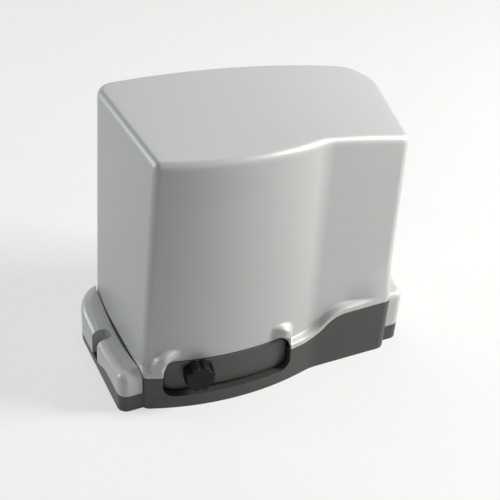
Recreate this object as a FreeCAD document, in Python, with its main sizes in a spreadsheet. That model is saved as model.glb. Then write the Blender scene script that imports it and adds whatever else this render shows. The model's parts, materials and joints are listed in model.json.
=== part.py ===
import FreeCAD, Part
import math
import os
import re

import Sketcher
from FreeCAD import Placement, Rotation, Vector

# Sliding gate motor.  X runs along the gate, Y points back at the gate, Z is up.  The origin is the
# centre of the four foundation slots, on the underside of the base.  Millimetres and degrees.
SIZES = {
    # plan of the tub, which the hood stands on: its corners as distances from the origin
    "tub_left": "141.3",            # left face
    "tub_rear": "84.5",             # rear face
    "tub_front_left": "75",         # front left corner, where the bow starts
    "tub_front_flat": "83",         # flat stretch of the front, right of the bow
    "tub_right_front": "142.5",     # front right corner
    "side_slant": "0.25",           # how far the right side runs outwards for each mm backwards
    "bow_end": "47",                # X where the bow meets the flat stretch
    "bow_rise": "15.5",             # height of the bow's arc over its chord
    "bow_blend": "60",              # radius of the hollow between bow and flat
    "corner_front_left": "9",
    "corner_front_right": "12",
    "corner_rear_right": "36",
    "corner_rear_left": "17",
    # seam between base and hood
    "seam_low": "40.5",
    "seam_high": "65",
    "seam_rise_start": "34",
    "seam_rise_end": "88",
    "seam_gap": "0.5",
    # base casting
    "base_floor": "8",
    "base_wall": "4",
    "wing_left": "165",
    "wing_front": "73",
    "wing_rear": "84.5",
    "wing_right_front": "164",
    "wing_corner_front": "10",
    "wing_corner_rear": "38",
    "wing_strip": "20",
    "wing_strip_rear": "8.5",
    "strip_drop_start": "-36",
    "strip_drop_end": "8",
    # foundation slots, cable entry and levelling screws
    "slot_pitch_x": "236",
    "slot_pitch_y": "96",
    "slot_length": "20",
    "slot_width": "11",
    "cable_x": "-70",
    "cable_y": "20",
    "cable_radius": "20",
    "cable_collar": "3",
    "cable_collar_height": "12",
    "level_radius": "4",
    "level_inset": "11.5",
    "level_y": "52",
    "level_height": "8.5",
    # hood
    "hood_wall": "3",
    "hood_lip": "7",                # how far the lip stands proud of the hood's face
    "hood_lip_height": "9",
    "lip_end": "52",                # the lip fades this far in front of the origin
    "arch_width": "11",             # width of the raised arches over the lever's ends
    "arch_reach": "22",
    "hood_top": "296.5",            # height of the crown at the rear
    "hood_crown_x": "-95",
    "hood_crown_radius": "1180",
    "hood_top_fall": "3.8",         # degrees that the top falls towards the front
    "hood_edge": "9",
    "hood_level_low": "20",
    "hood_taper_left_rear": "5.5",
    "hood_taper_left_front": "17",
    "hood_taper_front_left": "0",
    "hood_taper_front": "8.5",
    "hood_taper_right": "3.6",
    "hood_taper_rear": "5.5",
    "gasket_height": "0.5",
    "hood_screw_radius": "2.5",
    "hood_screw_head": "5",
    # side covers
    "cover_gap": "0.7",
    "cover_wall": "2.5",
    "cover_seat": "0.4",
    "cover_end": "10",              # the covers stop this far before the rear
    "cover_left_front": "54",
    "cover_left_middle": "38",
    "cover_left_rear": "60",
    "cover_right_front": "67",
    "cover_right_middle": "61",
    "cover_right_rear": "68",
    "cover_edge": "9",
    "notch_radius": "8",
    "notch_left_y": "8",
    "notch_right_y": "30",
    "notch_stand": "12.5",          # notch centre outside the tub's face
    "screw_z": "22",
    "tab_half": "9",
    "tab_thick": "4",
    "tab_low": "13",
    # release lever
    "lever_left": "-121",
    "lever_right": "17",
    "lever_bottom": "16.7",
    "lever_top": "55.7",
    "lever_corner": "12",
    "lever_thick": "9",
    "lever_edge": "3.5",
    "lever_gap": "1.2",
    "pocket_wall": "3",
    "pocket_clear": "8",
    "pivot_reach": "10",            # from the hinge axis to the lever's right end
    "pivot_depth": "5.6",           # hinge axis behind the lever's face
    "pivot_radius": "2.5",
    "knuckle_wall": "1.6",
    "knuckle_round": "5",
    "cam_start": "5.2",
    "cam_skin": "2",
    "cam_half": "3",
    "cam_gap": "0.3",
    "knuckle_gap": "0.4",
    "fit_running": "0.05",
    "lug_height": "9",
    "lug_raise": "1",
    "keeper_gap": "0.7",
    "keeper_thick": "2.2",
    "keeper_height": "16",
    "keeper_lap": "4",
    # knob
    "knob_x": "-85",
    "knob_z": "41",
    "knob_radius": "16",
    "knob_height": "14",
    "knob_flutes": "8",
    "knob_flute_radius": "4",
    "spindle_radius": "5",
    "tongue_length": "15",
    "tongue_width": "9",
    "tongue_thick": "2.5",
    "tongue_gap": "0.5",
    "knob_gap": "0.6",
    "knob_bevel": "1.2",
    # gear train
    "stroke": "4",                  # travel of the clutch
    "lever_open": "75",
    "output_z": "80",
    "gear_module": "2.5",
    "wheel_teeth": "30",
    "wheel_width": "16",
    "wheel_y": "5",
    "worm_pitch_radius": "12.5",
    "worm_length": "28",
    "tooth_backlash": "0.6",
    "rim_depth": "8",
    "hub_radius": "22",
    "dog_count": "6",
    "dog_height": "3",
    "dog_gap": "0.3",
    "dog_inner": "15.5",
    "dog_slack": "2",               # degrees
    "collar_length": "18",
    "collar_radius": "24",
    "collar_groove_radius": "18",
    "collar_groove_width": "6",
    "fork_thick": "5.2",
    "rod_radius": "4",
    "rod_z": "27.5",
    # output shaft, its bearings and the pinion
    "shaft_radius": "12.5",
    "shaft_nose_radius": "10",
    "flat_half": "10.5",
    "rear_bearing_y": "44",
    "rear_bearing_outer": "26",
    "rear_bearing_width": "15",
    "front_bearing_outer": "23.5",
    "front_bearing_width": "14",
    "front_bearing_y": "-24",
    "seal_y": "61",
    "seal_width": "7",
    "nose_end": "87",
    "nose_radius": "31",
    "pinion_module": "4",
    "pinion_teeth": "16",
    "pinion_width": "28",
    "pinion_y": "90",
    "key_width": "6",
    "key_length": "22",
    "pinion_screw_radius": "4",
    "washer_radius": "15",
    "washer_thick": "3",
    # gear case
    "case_cavity": "44",
    "case_wall": "10",
    "case_front": "-10",
    "case_rear": "47",
    "case_rear_wall": "5",
    "tunnel_wall": "5",
    "foot_half": "34",
    "foot_flange": "12",
    "foot_flange_thick": "7",
    "cover_plate": "6",
    "flange_lap": "2",
    "shelf_half": "15",
    "shelf_thick": "6",
    "worm_bearing_outer": "17.5",
    "worm_bearing_inner": "7.5",
    "worm_bearing_width": "11",
    "worm_bearing_reach": "46.5",   # outer end of each worm bearing from the output axis
    "case_screw_radius": "2.5",
    "case_screw_count": "4",
    "case_screw_step": "48",         # degrees
    # motor
    "can_radius": "50",
    "can_wall": "4",
    "flange_thick": "4",
    "core_length": "44",
    "winding_length": "7",
    "magnet_thick": "9",
    "commutator_radius": "15",
    "commutator_length": "10",
    "bell_length": "13",
    "tail_bearing_outer": "16",
    "tail_bearing_inner": "6",
    "tail_bearing_width": "10",
    # transformer
    "ring_x": "112",
    "ring_y": "14",
    "ring_radius": "34",
    "ring_height": "34",
    "ring_bore": "12",
    "ring_bolt": "3",
    # circuit board and carrier
    "board_left": "-62",
    "board_width": "170",
    "board_bottom": "178",
    "board_height": "66",
    "board_thick": "1.6",
    "board_y": "-36",
    "carrier_thick": "3",
    "standoff": "6",
    # limit switch
    "limit_z": "150",
    "limit_body_half": "17",
    "limit_rod_length": "62",
    "limit_rod_radius": "2",
    "limit_boss_radius": "11",
    "limit_body_end": "88",
    "limit_hub_length": "9",
    "limit_pin_radius": "3.5",
}

doc = FreeCAD.newDocument("SlidingGateMotor")
sheet = doc.addObject("Spreadsheet::Sheet", "Sizes")
for row, (alias, text) in enumerate(SIZES.items(), start=1):
    sheet.set("A%d" % row, alias)
    sheet.set("B%d" % row, text)
    sheet.setAlias("B%d" % row, alias)
doc.recompute()

AXIS = {
    "X": Rotation(Vector(0, 1, 0), 90),
    "Y": Rotation(Vector(1, 0, 0), -90),
    "Z": Rotation(),
}
NODES = []
# places that follow from the sizes: the hinge axis, and the clutch rod that its cam pushes
DERIVED = {
    "hood_level_high": "(hood_top + 23.5)",
    "can_length": "(core_length + 2 * winding_length + commutator_length + 6)",
    "core_radius": "(can_radius - can_wall - magnet_thick - 1)",
    "pivot_x": "(lever_right - pivot_reach)",
    "cam_radius": "(stroke / lever_open * 180 / pi)",
    "output_x": "(lever_right - pivot_reach + stroke / lever_open * 180 / pi)",
    "worm_z": "(output_z + gear_module * wheel_teeth / 2 + worm_pitch_radius)",
    "board_back": "(board_y + board_thick + standoff + carrier_thick)",
    "motor_front": "(lever_right - pivot_reach + stroke / lever_open * 180 / pi - worm_bearing_reach - flange_thick)",
    "collar_y": "(wheel_y + wheel_width / 2 + dog_height + dog_gap)",
    "fork_front": "(wheel_y + wheel_width / 2 + dog_height + dog_gap + collar_length / 2 - fork_thick / 2)",
}


# ---------------------------------------------------------------- helpers
def formula(text):
    """A formula in cell names, as FreeCAD's expression engine reads it."""
    for name, meaning in DERIVED.items():
        text = re.sub(r"\b%s\b" % name, meaning, str(text))
    names = "|".join(sorted(SIZES, key=len, reverse=True))
    return re.sub(r"\b(%s)\b" % names, r"Sizes.\1", text)


def val(text):
    """The value of a formula in cell names."""
    return float(sheet.evalExpression(formula(text)))


def bind(obj, **formulas):
    """Binds properties of an object to formulas in cell names."""
    for name, text in formulas.items():
        obj.setExpression(name, formula(text))
    return obj


def place(obj, x, y, z):
    """Binds the place of an object to formulas in cell names."""
    for name, text in zip("xyz", (x, y, z)):
        obj.setExpression(".Placement.Base." + name, formula(text))
    return obj


def cylinder(name, radius, length, at, axis="Z"):
    obj = doc.addObject("Part::Cylinder", name)
    obj.Placement = Placement(Vector(), AXIS[axis])
    return place(bind(obj, Radius=radius, Height=length), *at)


def box(name, low, high):
    """A box between two corners, each given as three formulas."""
    obj = doc.addObject("Part::Box", name)
    spans = ["(%s)-(%s)" % (b, a) for a, b in zip(low, high)]
    return place(bind(obj, Length=spans[0], Width=spans[1], Height=spans[2]), *low)


def fuse(name, shapes):
    obj = doc.addObject("Part::MultiFuse", name)
    obj.Shapes = shapes
    return obj


def common(name, shapes):
    obj = doc.addObject("Part::MultiCommon", name)
    obj.Shapes = shapes
    return obj


def cut(name, base, tools):
    obj = doc.addObject("Part::Cut", name)
    obj.Base = base
    obj.Tool = tools[0] if len(tools) == 1 else fuse(name + "_tools", tools)
    return obj


def group(name, shapes):
    """Several like solids that share one node."""
    obj = doc.addObject("Part::Compound", name)
    obj.Links = shapes
    return obj


def feature(name, shape, placement=None):
    """A shape that no standard feature makes."""
    obj = doc.addObject("Part::Feature", name)
    obj.Shape = shape
    if placement:
        obj.Placement = placement
    return obj


def node(obj, label):
    """Marks an object as one finished sub-part, named as its file."""
    obj.Label = label
    NODES.append(obj)
    return obj


def origin_plane(body, role):
    return next(f for f in body.Origin.OriginFeatures if f.Role == role)


def profile(body, name, role, points):
    """A closed polygon in a sketch, each corner held by two formulas."""
    sketch = body.newObject("Sketcher::SketchObject", name)
    sketch.AttachmentSupport = [(origin_plane(body, role), "")]
    sketch.MapMode = "FlatFace"
    doc.recompute()
    seeds = [[val(text) for text in point] for point in points]
    count = len(points)
    for i in range(count):
        start, end = seeds[i], seeds[(i + 1) % count]
        sketch.addGeometry(Part.LineSegment(Vector(*start, 0), Vector(*end, 0)), False)
    for i in range(count):
        sketch.addConstraint(Sketcher.Constraint("Coincident", i, 2, (i + 1) % count, 1))
    for i, point in enumerate(points):
        for kind, seed, text in zip(("DistanceX", "DistanceY"), seeds[i], point):
            at = sketch.addConstraint(Sketcher.Constraint(kind, -1, 1, i, 1, seed))
            sketch.setExpression("Constraints[%d]" % at, formula(text))
    return sketch


def turned(name, points, axis, at):
    """A turned part: points give distance along its axis and radius, as formulas."""
    body = doc.addObject("PartDesign::Body", name)
    sketch = profile(body, name + "_profile", "XZ_Plane", points)
    revolution = body.newObject("PartDesign::Revolution", name + "_turn")
    revolution.Profile = sketch
    revolution.ReferenceAxis = (sketch, ["H_Axis"])
    revolution.Angle = 360
    body.Placement = Placement(Vector(), AXIS[axis].multiply(Rotation(Vector(0, 1, 0), -90)))
    return place(body, *at)


def ring(name, inner, outer, length, at, axis):
    """A plain ring, as a turned part."""
    points = [("0", inner), (length, inner), (length, outer), ("0", outer)]
    return turned(name, points, axis, at)


def outline(corners):
    """A closed plan wire.  Each corner is (x, y, radius, rise): radius rounds the corner, and rise
    bows the edge that leaves it outwards by that height over its chord."""
    points = [Vector(x, y, 0) for x, y, _, _ in corners]
    count = len(points)
    edges = []
    for i in range(count):
        start, end = points[i], points[(i + 1) % count]
        rise = corners[i][3]
        if rise:
            side = (end - start).cross(Vector(0, 0, 1)).normalize()
            middle = (start + end) * 0.5 + side * rise
            edges.append(Part.Arc(start, middle, end).toShape())
        else:
            edges.append(Part.LineSegment(start, end).toShape())
    arcs = {}
    for i in range(count):
        radius = corners[i][2]
        if not radius:
            continue
        before = (i - 1) % count
        tool = Part.ChFi2d.FilletAPI(Part.Wire([edges[before], edges[i]]), Part.Plane())
        if not tool.perform(radius):
            raise RuntimeError("corner %d of an outline can't be rounded" % i)
        arc, edges[before], edges[i] = tool.result(points[i])
        first, last = arc.FirstParameter, arc.LastParameter
        through = [arc.valueAt(first), arc.valueAt((first + last) / 2), arc.valueAt(last)]
        arcs[i] = Part.Arc(*through).toShape()
    ordered = []
    for i in range(count):
        if i in arcs:
            ordered.append(arcs[i])
        ordered.append(edges[i])
    return Part.Wire(Part.__sortEdges__(ordered))


def inset(wire, distance):
    """The wire moved inwards by a distance."""
    return wire.makeOffset2D(-distance) if distance else wire


def prism(wire, low, high):
    """A plan wire made solid between two heights."""
    solid = Part.Face(wire).extrude(Vector(0, 0, high - low))
    solid.translate(Vector(0, 0, low))
    return solid


def slab(points, axis, low, high):
    """A profile made solid along an axis.  Points are (u, z); a third point in a tuple of three makes
    an arc through it.  Axis Y takes u as X, and axis X takes u as Y."""
    def at(u, z):
        return Vector(u, low, z) if axis == "Y" else Vector(low, u, z)
    edges = []
    for (start, end, through) in points:
        if through:
            edges.append(Part.Arc(at(*start), at(*through), at(*end)).toShape())
        else:
            edges.append(Part.LineSegment(at(*start), at(*end)).toShape())
    along = Vector(0, high - low, 0) if axis == "Y" else Vector(high - low, 0, 0)
    return Part.Face(Part.Wire(edges)).extrude(along)


def s_bend(start, end):
    """The three points of each of the two arcs of an S between two levels."""
    (u0, z0), (u1, z1) = start, end
    run, rise = u1 - u0, z1 - z0
    radius = (run ** 2 + rise ** 2) / (4 * abs(rise))
    half = math.asin(run / 2 / radius)
    sign = 1 if rise > 0 else -1
    drop = radius * (1 - math.cos(half / 2))
    reach = radius * math.sin(half / 2)
    middle = ((u0 + u1) / 2, (z0 + z1) / 2)
    first = (u0 + reach, z0 + sign * drop)
    second = (u1 - reach, z1 - sign * drop)
    return [(start, middle, first), (middle, end, second)]


def round_bar(left, right, bottom, top, radius, front, rear):
    """A round-cornered rectangle across X and Z, made solid along Y."""
    plate = Part.makeBox(right - left, rear - front, top - bottom, Vector(left, front, bottom))
    edges = [e for e in plate.Edges if abs(e.tangentAt(e.FirstParameter).y) > 0.99]
    return plate.makeFillet(radius, edges)


# ---------------------------------------------------------------- outlines shared by the mouldings
FAR = 400.0                         # reach of cutting tools, past the whole object


def right_face(y, front=0.0):
    """X of the slanted right side at a given Y."""
    return val("tub_right_front") + front + val("side_slant") * (y + val("tub_front_flat"))


def tub_outline(lip=0.0):
    """Plan of the base's tub; lip moves its front back, to the hood's own face."""
    flat = lip - val("tub_front_flat")
    rear = val("tub_rear")
    return outline([
        (-val("tub_left"), rear, val("corner_rear_left"), 0),
        (-val("tub_left"), lip - val("tub_front_left"), val("corner_front_left"), val("bow_rise")),
        (val("bow_end"), flat, val("bow_blend"), 0),
        (right_face(flat), flat, val("corner_front_right"), 0),
        (right_face(rear), rear, val("corner_rear_right"), 0),
    ])


def hood_top_outline():
    """Plan of the hood at its upper level, drawn in by the taper of each side."""
    flat = val("hood_lip") + val("hood_taper_front") - val("tub_front_flat")
    front = val("hood_lip") + val("hood_taper_front_left") - val("tub_front_left")
    rear = val("tub_rear") - val("hood_taper_rear")
    left = -val("tub_left")
    return outline([
        (left + val("hood_taper_left_rear"), rear, val("corner_rear_left"), 0),
        (left + val("hood_taper_left_front"), front, val("corner_front_left"), val("bow_rise")),
        (val("bow_end"), flat, val("bow_blend"), 0),
        (right_face(flat) - val("hood_taper_right"), flat, val("corner_front_right"), 0),
        (right_face(rear) - val("hood_taper_right"), rear, val("corner_rear_right"), 0),
    ])


def wing_outline():
    """Plan of the base's flange, which the side covers stand on."""
    front, rear = -val("wing_front"), val("wing_rear")
    right = val("wing_right_front")
    return outline([
        (-val("wing_left"), rear, val("wing_corner_rear"), 0),
        (-val("wing_left"), front, val("wing_corner_front"), 0),
        (right, front, val("wing_corner_front"), 0),
        (right + val("side_slant") * (rear - front), rear, val("wing_corner_rear"), 0),
    ])


def under_seam(raised):
    """Everything below the seam between base and hood, raised by a distance."""
    low, high = val("seam_low") + raised, val("seam_high") + raised
    first, second = s_bend((val("seam_rise_start"), low), (val("seam_rise_end"), high))
    return slab([
        ((-FAR, -FAR), (-FAR, low), None),
        ((-FAR, low), first[0], None),
        first,
        second,
        (second[1], (FAR, high), None),
        ((FAR, high), (FAR, -FAR), None),
        ((FAR, -FAR), (-FAR, -FAR), None),
    ], "Y", -FAR, FAR)


def under_strip(raised):
    """Everything below the top of the flange's dark strip, raised by a distance."""
    front, rear = val("wing_strip") + raised, val("wing_strip_rear") + raised
    first, second = s_bend((val("strip_drop_start"), front), (val("strip_drop_end"), rear))
    return slab([
        ((-FAR, -FAR), (-FAR, front), None),
        ((-FAR, front), first[0], None),
        first,
        second,
        (second[1], (FAR, rear), None),
        ((FAR, rear), (FAR, -FAR), None),
        ((FAR, -FAR), (-FAR, -FAR), None),
    ], "X", -FAR, FAR)


def under_saddle(front, middle, rear, lowered):
    """Everything below a side cover's saddle: an arc through three heights."""
    y_front, y_rear = -val("wing_front") - 6, val("wing_rear") + 6
    start, end = (y_front, front - lowered), (y_rear, rear - lowered)
    return slab([
        ((-FAR, -FAR), (-FAR, start[1]), None),
        ((-FAR, start[1]), start, None),
        (start, end, (0.0, middle - lowered)),
        (end, (FAR, end[1]), None),
        ((FAR, end[1]), (FAR, -FAR), None),
        ((FAR, -FAR), (-FAR, -FAR), None),
    ], "X", -FAR, FAR)


def lever_bar(grow, front=-FAR, rear=-60.0):
    """The lever's round-cornered front view as a bar, grown all round."""
    return round_bar(
        val("lever_left") - grow, val("lever_right") + grow,
        val("lever_bottom") - grow, val("lever_top") + grow,
        val("lever_corner") + grow, front, rear)


# ---------------------------------------------------------------- base casting
def bow_circle():
    """Centre and radius of the arc that bows the tub's front."""
    start = Vector(-val("tub_left"), -val("tub_front_left"), 0)
    end = Vector(val("bow_end"), -val("tub_front_flat"), 0)
    chord, rise = (end - start).Length, val("bow_rise")
    radius = (chord ** 2 / 4 + rise ** 2) / (2 * rise)
    side = (end - start).cross(Vector(0, 0, 1)).normalize()
    return (start + end) * 0.5 - side * (radius - rise), radius


def bow_face(x, depth):
    """Y of the tub's bowed front at X, moved inwards by a depth."""
    centre, radius = bow_circle()
    return centre.y - math.sqrt((radius - depth) ** 2 - (x - centre.x) ** 2)


def pocket_depths():
    """Depths behind the lip's face: lever front, lever back, pocket wall front, pocket wall back."""
    front = val("hood_lip") + 0.3
    back = front + val("lever_thick")
    wall = back + val("pocket_clear")
    return front, back, wall, wall + val("pocket_wall")


def base_casting():
    floor, wall = val("base_floor"), val("base_wall")
    tub, wing = tub_outline(), wing_outline()
    seam = under_seam(-val("seam_gap") / 2)
    high = val("seam_high") + 10
    tub_wall = prism(tub, 0, high).cut(prism(inset(tub, wall), floor, high)).common(seam)
    flange = prism(wing, 0, high).cut(prism(inset(wing, wall), floor, high))
    flange = flange.common(under_strip(0)).cut(prism(tub, floor, high))
    body = tub_wall.fuse([flange, prism(wing, 0, floor)])
    # recess for the release lever: an opening in the front, lined behind
    _, _, wall_front, wall_back = pocket_depths()
    gap = val("lever_gap")
    body = body.cut(lever_bar(gap))
    behind = prism(inset(tub, wall_front), 0, high).cut(prism(inset(tub, wall_back), -1, high + 1))
    back_wall = behind.common(lever_bar(gap + val("pocket_wall")))
    back_wall = back_wall.cut(Part.makeBox(FAR, FAR, FAR, Vector(-FAR / 2, -FAR / 2, val("lever_top"))))
    frame = prism(tub, 0, high).cut(prism(inset(tub, wall_back), -1, high + 1))
    frame = frame.common(lever_bar(gap + val("pocket_wall"))).cut(lever_bar(gap)).common(seam)
    body = body.fuse([back_wall, frame])
    # hinge lug for the lever, in the middle of its height, on a web from the recess's wall
    low, high = lug_heights()
    pivot = pivot_place() + Vector(0, 0, low)
    lug = Part.makeCylinder(val("pivot_radius + knuckle_wall"), high - low, pivot)
    half = val("pivot_radius + knuckle_wall") - 0.6
    reach = bow_face(pivot.x, wall_back) - pivot.y
    web = Part.makeBox(2 * half, reach, high - low, pivot - Vector(half, 0, 0))
    bore = Part.makeCylinder(val("pivot_radius + fit_running"), high - low, pivot)
    body = body.fuse([lug, web]).cut(bore)
    # keeper that the knob's tongue turns behind
    body = body.fuse(keeper_plate())
    # bosses for the levelling screws, and the cable entry's collar
    adds, cuts = [], []
    for x, y in levelling_places():
        adds.append(Part.makeCylinder(val("level_radius") + 3.2, val("level_height"), Vector(x, y, 0)))
        cuts.append(Part.makeCylinder(val("level_radius") + val("fit_running"), FAR, Vector(x, y, -1)))
    collar_top = floor + val("cable_collar_height")
    cable = Vector(val("cable_x"), val("cable_y"), 0)
    adds.append(Part.makeCylinder(val("cable_radius") + val("cable_collar"), collar_top, cable))
    cuts.append(Part.makeCylinder(val("cable_radius"), FAR, cable - Vector(0, 0, 1)))
    # foundation slots
    half = (val("slot_length") - val("slot_width")) / 2
    for side_x in (-1, 1):
        for side_y in (-1, 1):
            x, y = side_x * val("slot_pitch_x") / 2, side_y * val("slot_pitch_y") / 2
            ends = [Part.makeCylinder(val("slot_width") / 2, floor + 2, Vector(x + end * half, y, -1))
                    for end in (-1, 1)]
            middle = Part.makeBox(2 * half, val("slot_width"), floor + 2,
                                  Vector(x - half, y - val("slot_width") / 2, -1))
            cuts += ends + [middle]
    # the shaft's nose leaves through the rear wall, and the clutch rod through the recess's wall
    clear = val("nose_radius") + val("cover_gap")
    output_x, output_z = val("output_x"), val("output_z")
    cuts.append(Part.makeCylinder(clear, 40, Vector(output_x, val("tub_rear") - 20, output_z), Vector(0, 1, 0)))
    cuts.append(Part.makeBox(2 * clear, 40, FAR, Vector(output_x - clear, val("tub_rear") - 20, output_z)))
    cuts.append(Part.makeCylinder(val("rod_radius") + 0.3, 60, Vector(output_x, -90, val("rod_z")),
                                  Vector(0, 1, 0)))
    for side in (-1, 1):
        at, out = screw_place(side)
        cuts.append(Part.makeCylinder(val("hood_screw_radius + fit_running"), 20, at - out * 10, out))
    post = Vector(val("ring_x"), val("ring_y"), 0)
    adds.append(Part.makeCylinder(val("ring_bore") - 0.5, floor + val("ring_height") - 1, post))
    cuts.append(Part.makeCylinder(val("ring_bolt + fit_running"), val("ring_height"), post + Vector(0, 0, floor)))
    body = body.fuse(adds).cut(cuts[0].fuse(cuts[1:]))
    return body.removeSplitter().Solids[0]


def lug_heights():
    """Lowest and highest level of the base's hinge lug, near the middle of the lever."""
    middle = val("(lever_bottom + lever_top) / 2")
    return middle - val("lug_height") / 2 + val("lug_raise"), middle + val("lug_height / 2 + lug_raise")


def pivot_place():
    """Axis of the lever's hinge."""
    depth = pocket_depths()[0] + val("pivot_depth")
    return Vector(val("pivot_x"), bow_face(val("pivot_x"), depth), 0)


def keeper_plate():
    """Plate inside the left end of the recess, in front of the locked tongue."""
    _, back, wall_front, _ = pocket_depths()
    front = back + val("keeper_gap")
    tub = tub_outline()
    layer = prism(inset(tub, front), 0, FAR).cut(prism(inset(tub, front + val("keeper_thick")), -1, FAR + 1))
    left = val("lever_left") - val("lever_gap") - val("pocket_wall") / 2
    right = val("knob_x") - val("tongue_length") + val("keeper_lap")
    low = val("knob_z") - val("keeper_height") / 2
    window = Part.makeBox(right - left, FAR, val("keeper_height"), Vector(left, -FAR, low))
    return layer.common(window)


def levelling_places():
    """Centres of the four levelling screws, in the flange beside the tub."""
    y = val("level_y")
    front, rear = -val("wing_front"), y
    places = [(-val("wing_left") + val("level_inset"), side * y) for side in (-1, 1)]
    for side in (-1, 1):
        edge = val("wing_right_front") + val("side_slant") * (side * y - front)
        places.append((edge - val("level_inset"), side * y))
    return places


# ---------------------------------------------------------------- hood
def crown(lowered):
    """A large cylinder whose skin is the hood's arched top, which falls towards the front."""
    radius = val("hood_crown_radius") - lowered
    fall = math.radians(val("hood_top_fall"))
    along = Vector(0, math.cos(fall), math.sin(fall))
    top_rear = Vector(val("hood_crown_x"), val("tub_rear"), val("hood_top"))
    down = Vector(0, math.sin(fall), -math.cos(fall))
    centre = top_rear + down * val("hood_crown_radius") - along * FAR
    return Part.makeCylinder(radius, 2 * FAR, centre, along)


def hood_block(thinner):
    """The hood's outer form, or its inside when made thinner by the wall."""
    low, high = val("hood_level_low"), val("hood_level_high")
    bottom = inset(tub_outline(val("hood_lip")), thinner)
    top = inset(hood_top_outline(), thinner)
    bottom.translate(Vector(0, 0, low))
    top.translate(Vector(0, 0, high))
    block = Part.makeLoft([bottom, top], True, True).common(crown(thinner)).Solids[0]
    rim = [e for e in block.Edges if e.BoundBox.ZMin > high / 2]
    return block.makeFillet(val("hood_edge") - thinner, rim)


def lip_band():
    """The flared lip: a band above the seam and the two arches round the lever's upper corners."""
    tub = tub_outline()
    front = Part.makeBox(2 * FAR, FAR, FAR, Vector(-FAR, -FAR - val("lip_end"), 0))
    width, gap = val("arch_width"), val("lever_gap")
    raised = under_seam(val("hood_lip_height")).cut(under_seam(val("seam_gap") / 2))
    arches = lever_bar(gap + width)
    left, right = val("lever_left"), val("lever_right")
    middle = Part.makeBox(right - left - 2 * val("arch_reach"), 2 * FAR, 2 * FAR,
                          Vector(left + val("arch_reach"), -FAR, -FAR))
    arches = arches.cut(middle.fuse(under_seam(val("seam_gap") / 2)))
    band = prism(tub, 0, FAR / 2).common(front).common(raised.fuse(arches))
    return band.cut(prism(inset(tub, val("hood_lip") + val("hood_wall")), 0, FAR))


def hood():
    """Open shell with the lip, the lever's window and the arch over the shaft's nose."""
    outer, inner = hood_block(0), hood_block(val("hood_wall"))
    body = outer.fuse(lip_band()).cut(inner)
    below = under_seam(val("seam_gap") / 2 + val("gasket_height"))
    body = body.cut(below.fuse(lever_bar(val("lever_gap"))))
    # the lip is hollow underneath
    tub = tub_outline()
    hollow = prism(inset(tub, val("hood_wall")), 0, FAR / 2)
    hollow = hollow.common(under_seam(val("hood_lip_height") - val("hood_wall")))
    hollow = hollow.cut(lever_bar(val("lever_gap") + val("hood_wall")))
    hollow = hollow.common(Part.makeBox(2 * FAR, FAR, FAR, Vector(-FAR, -FAR - val("lip_end") - 6, 0)))
    body = body.cut(hollow)
    # arch over the shaft's nose and slot for the limit lever's boss
    clear = val("nose_radius") + val("cover_gap")
    x, z = val("output_x"), val("output_z")
    arch = Part.makeCylinder(clear, 60, Vector(x, val("tub_rear") - 30, z), Vector(0, 1, 0))
    arch = arch.fuse(Part.makeBox(2 * clear, 60, z, Vector(x - clear, val("tub_rear") - 30, 0)))
    window = val("limit_body_half") + val("cover_gap")
    port = Part.makeBox(2 * window, 60, 2 * window,
                        Vector(x - window, val("tub_rear") - 30, val("limit_z") - window))
    body = body.cut(arch.fuse(port))
    body = body.fuse([screw_tab(-1), screw_tab(1)])
    bores = [Part.makeCylinder(val("hood_screw_radius + fit_running"), 30, at - out * 20, out)
             for at, out in (screw_place(-1), screw_place(1))]
    body = body.cut(bores[0].fuse(bores[1]))
    return max(body.Solids, key=lambda solid: solid.Volume)


def screw_place(side):
    """Where a hood screw meets the tub's face, and the direction that it faces."""
    slant = 0 if side < 0 else math.atan(val("side_slant"))
    out = Vector(side * math.cos(slant), -math.sin(slant), 0)
    at = notch_place(side) - out * val("notch_stand") * math.cos(slant)
    return at + Vector(0, 0, val("screw_z")), out


def screw_tab(side):
    """Tab that hangs from the hood's wall inside the tub, with a foot that joins the wall above."""
    at, out = screw_place(side)
    seam = val("seam_low") if side < 0 else val("seam_high")
    half, thick = val("tab_half"), val("tab_thick")
    tab_x = val("base_wall") + 0.3
    low, high = val("tab_low"), seam + 16
    tab = Part.makeBox(thick, 2 * half, high - low, Vector(tab_x, -half, low))
    foot_low = seam + val("seam_gap + gasket_height")
    foot = Part.makeBox(tab_x - 1.5, 2 * half, high - foot_low, Vector(1.5, -half, foot_low))
    tab = tab.fuse(foot)
    tab.Placement = Placement(Vector(at.x, at.y, 0), Rotation(Vector(1, 0, 0), -out))
    return tab


# ---------------------------------------------------------------- side covers
def cover_block(side, thinner):
    """A side cover's outer form, or its inside when made thinner by the wall."""
    key = "cover_left_" if side < 0 else "cover_right_"
    heights = [val(key + end) for end in ("front", "middle", "rear")]
    wing = inset(wing_outline(), thinner)
    rear = val("wing_rear - cover_end") - thinner
    beside = Part.makeBox(FAR, FAR + rear, FAR, Vector(0 if side > 0 else -FAR, -FAR, 0))
    beside = beside.cut(prism(inset(tub_outline(), -val("cover_gap") - thinner), -1, FAR))
    block = prism(wing, -5 if thinner else 0, FAR / 2).common(beside)
    block = block.common(under_saddle(*heights, thinner))
    block = block.cut(under_strip(val("cover_seat") - 10 * thinner))
    block = max(block.Solids, key=lambda solid: solid.Volume)
    rim = []
    for edge in block.Edges:
        point = edge.valueAt((edge.FirstParameter + edge.LastParameter) / 2)
        flat = Part.Vertex(point.x, point.y, 0)
        level = abs(edge.tangentAt(edge.FirstParameter).z) < 0.9
        if level and point.z > val("wing_strip") + 5 and wing.distToShape(flat)[0] < 0.01:
            rim.append(edge)
    return block.makeFillet(val("cover_edge") - thinner, rim)


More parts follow.
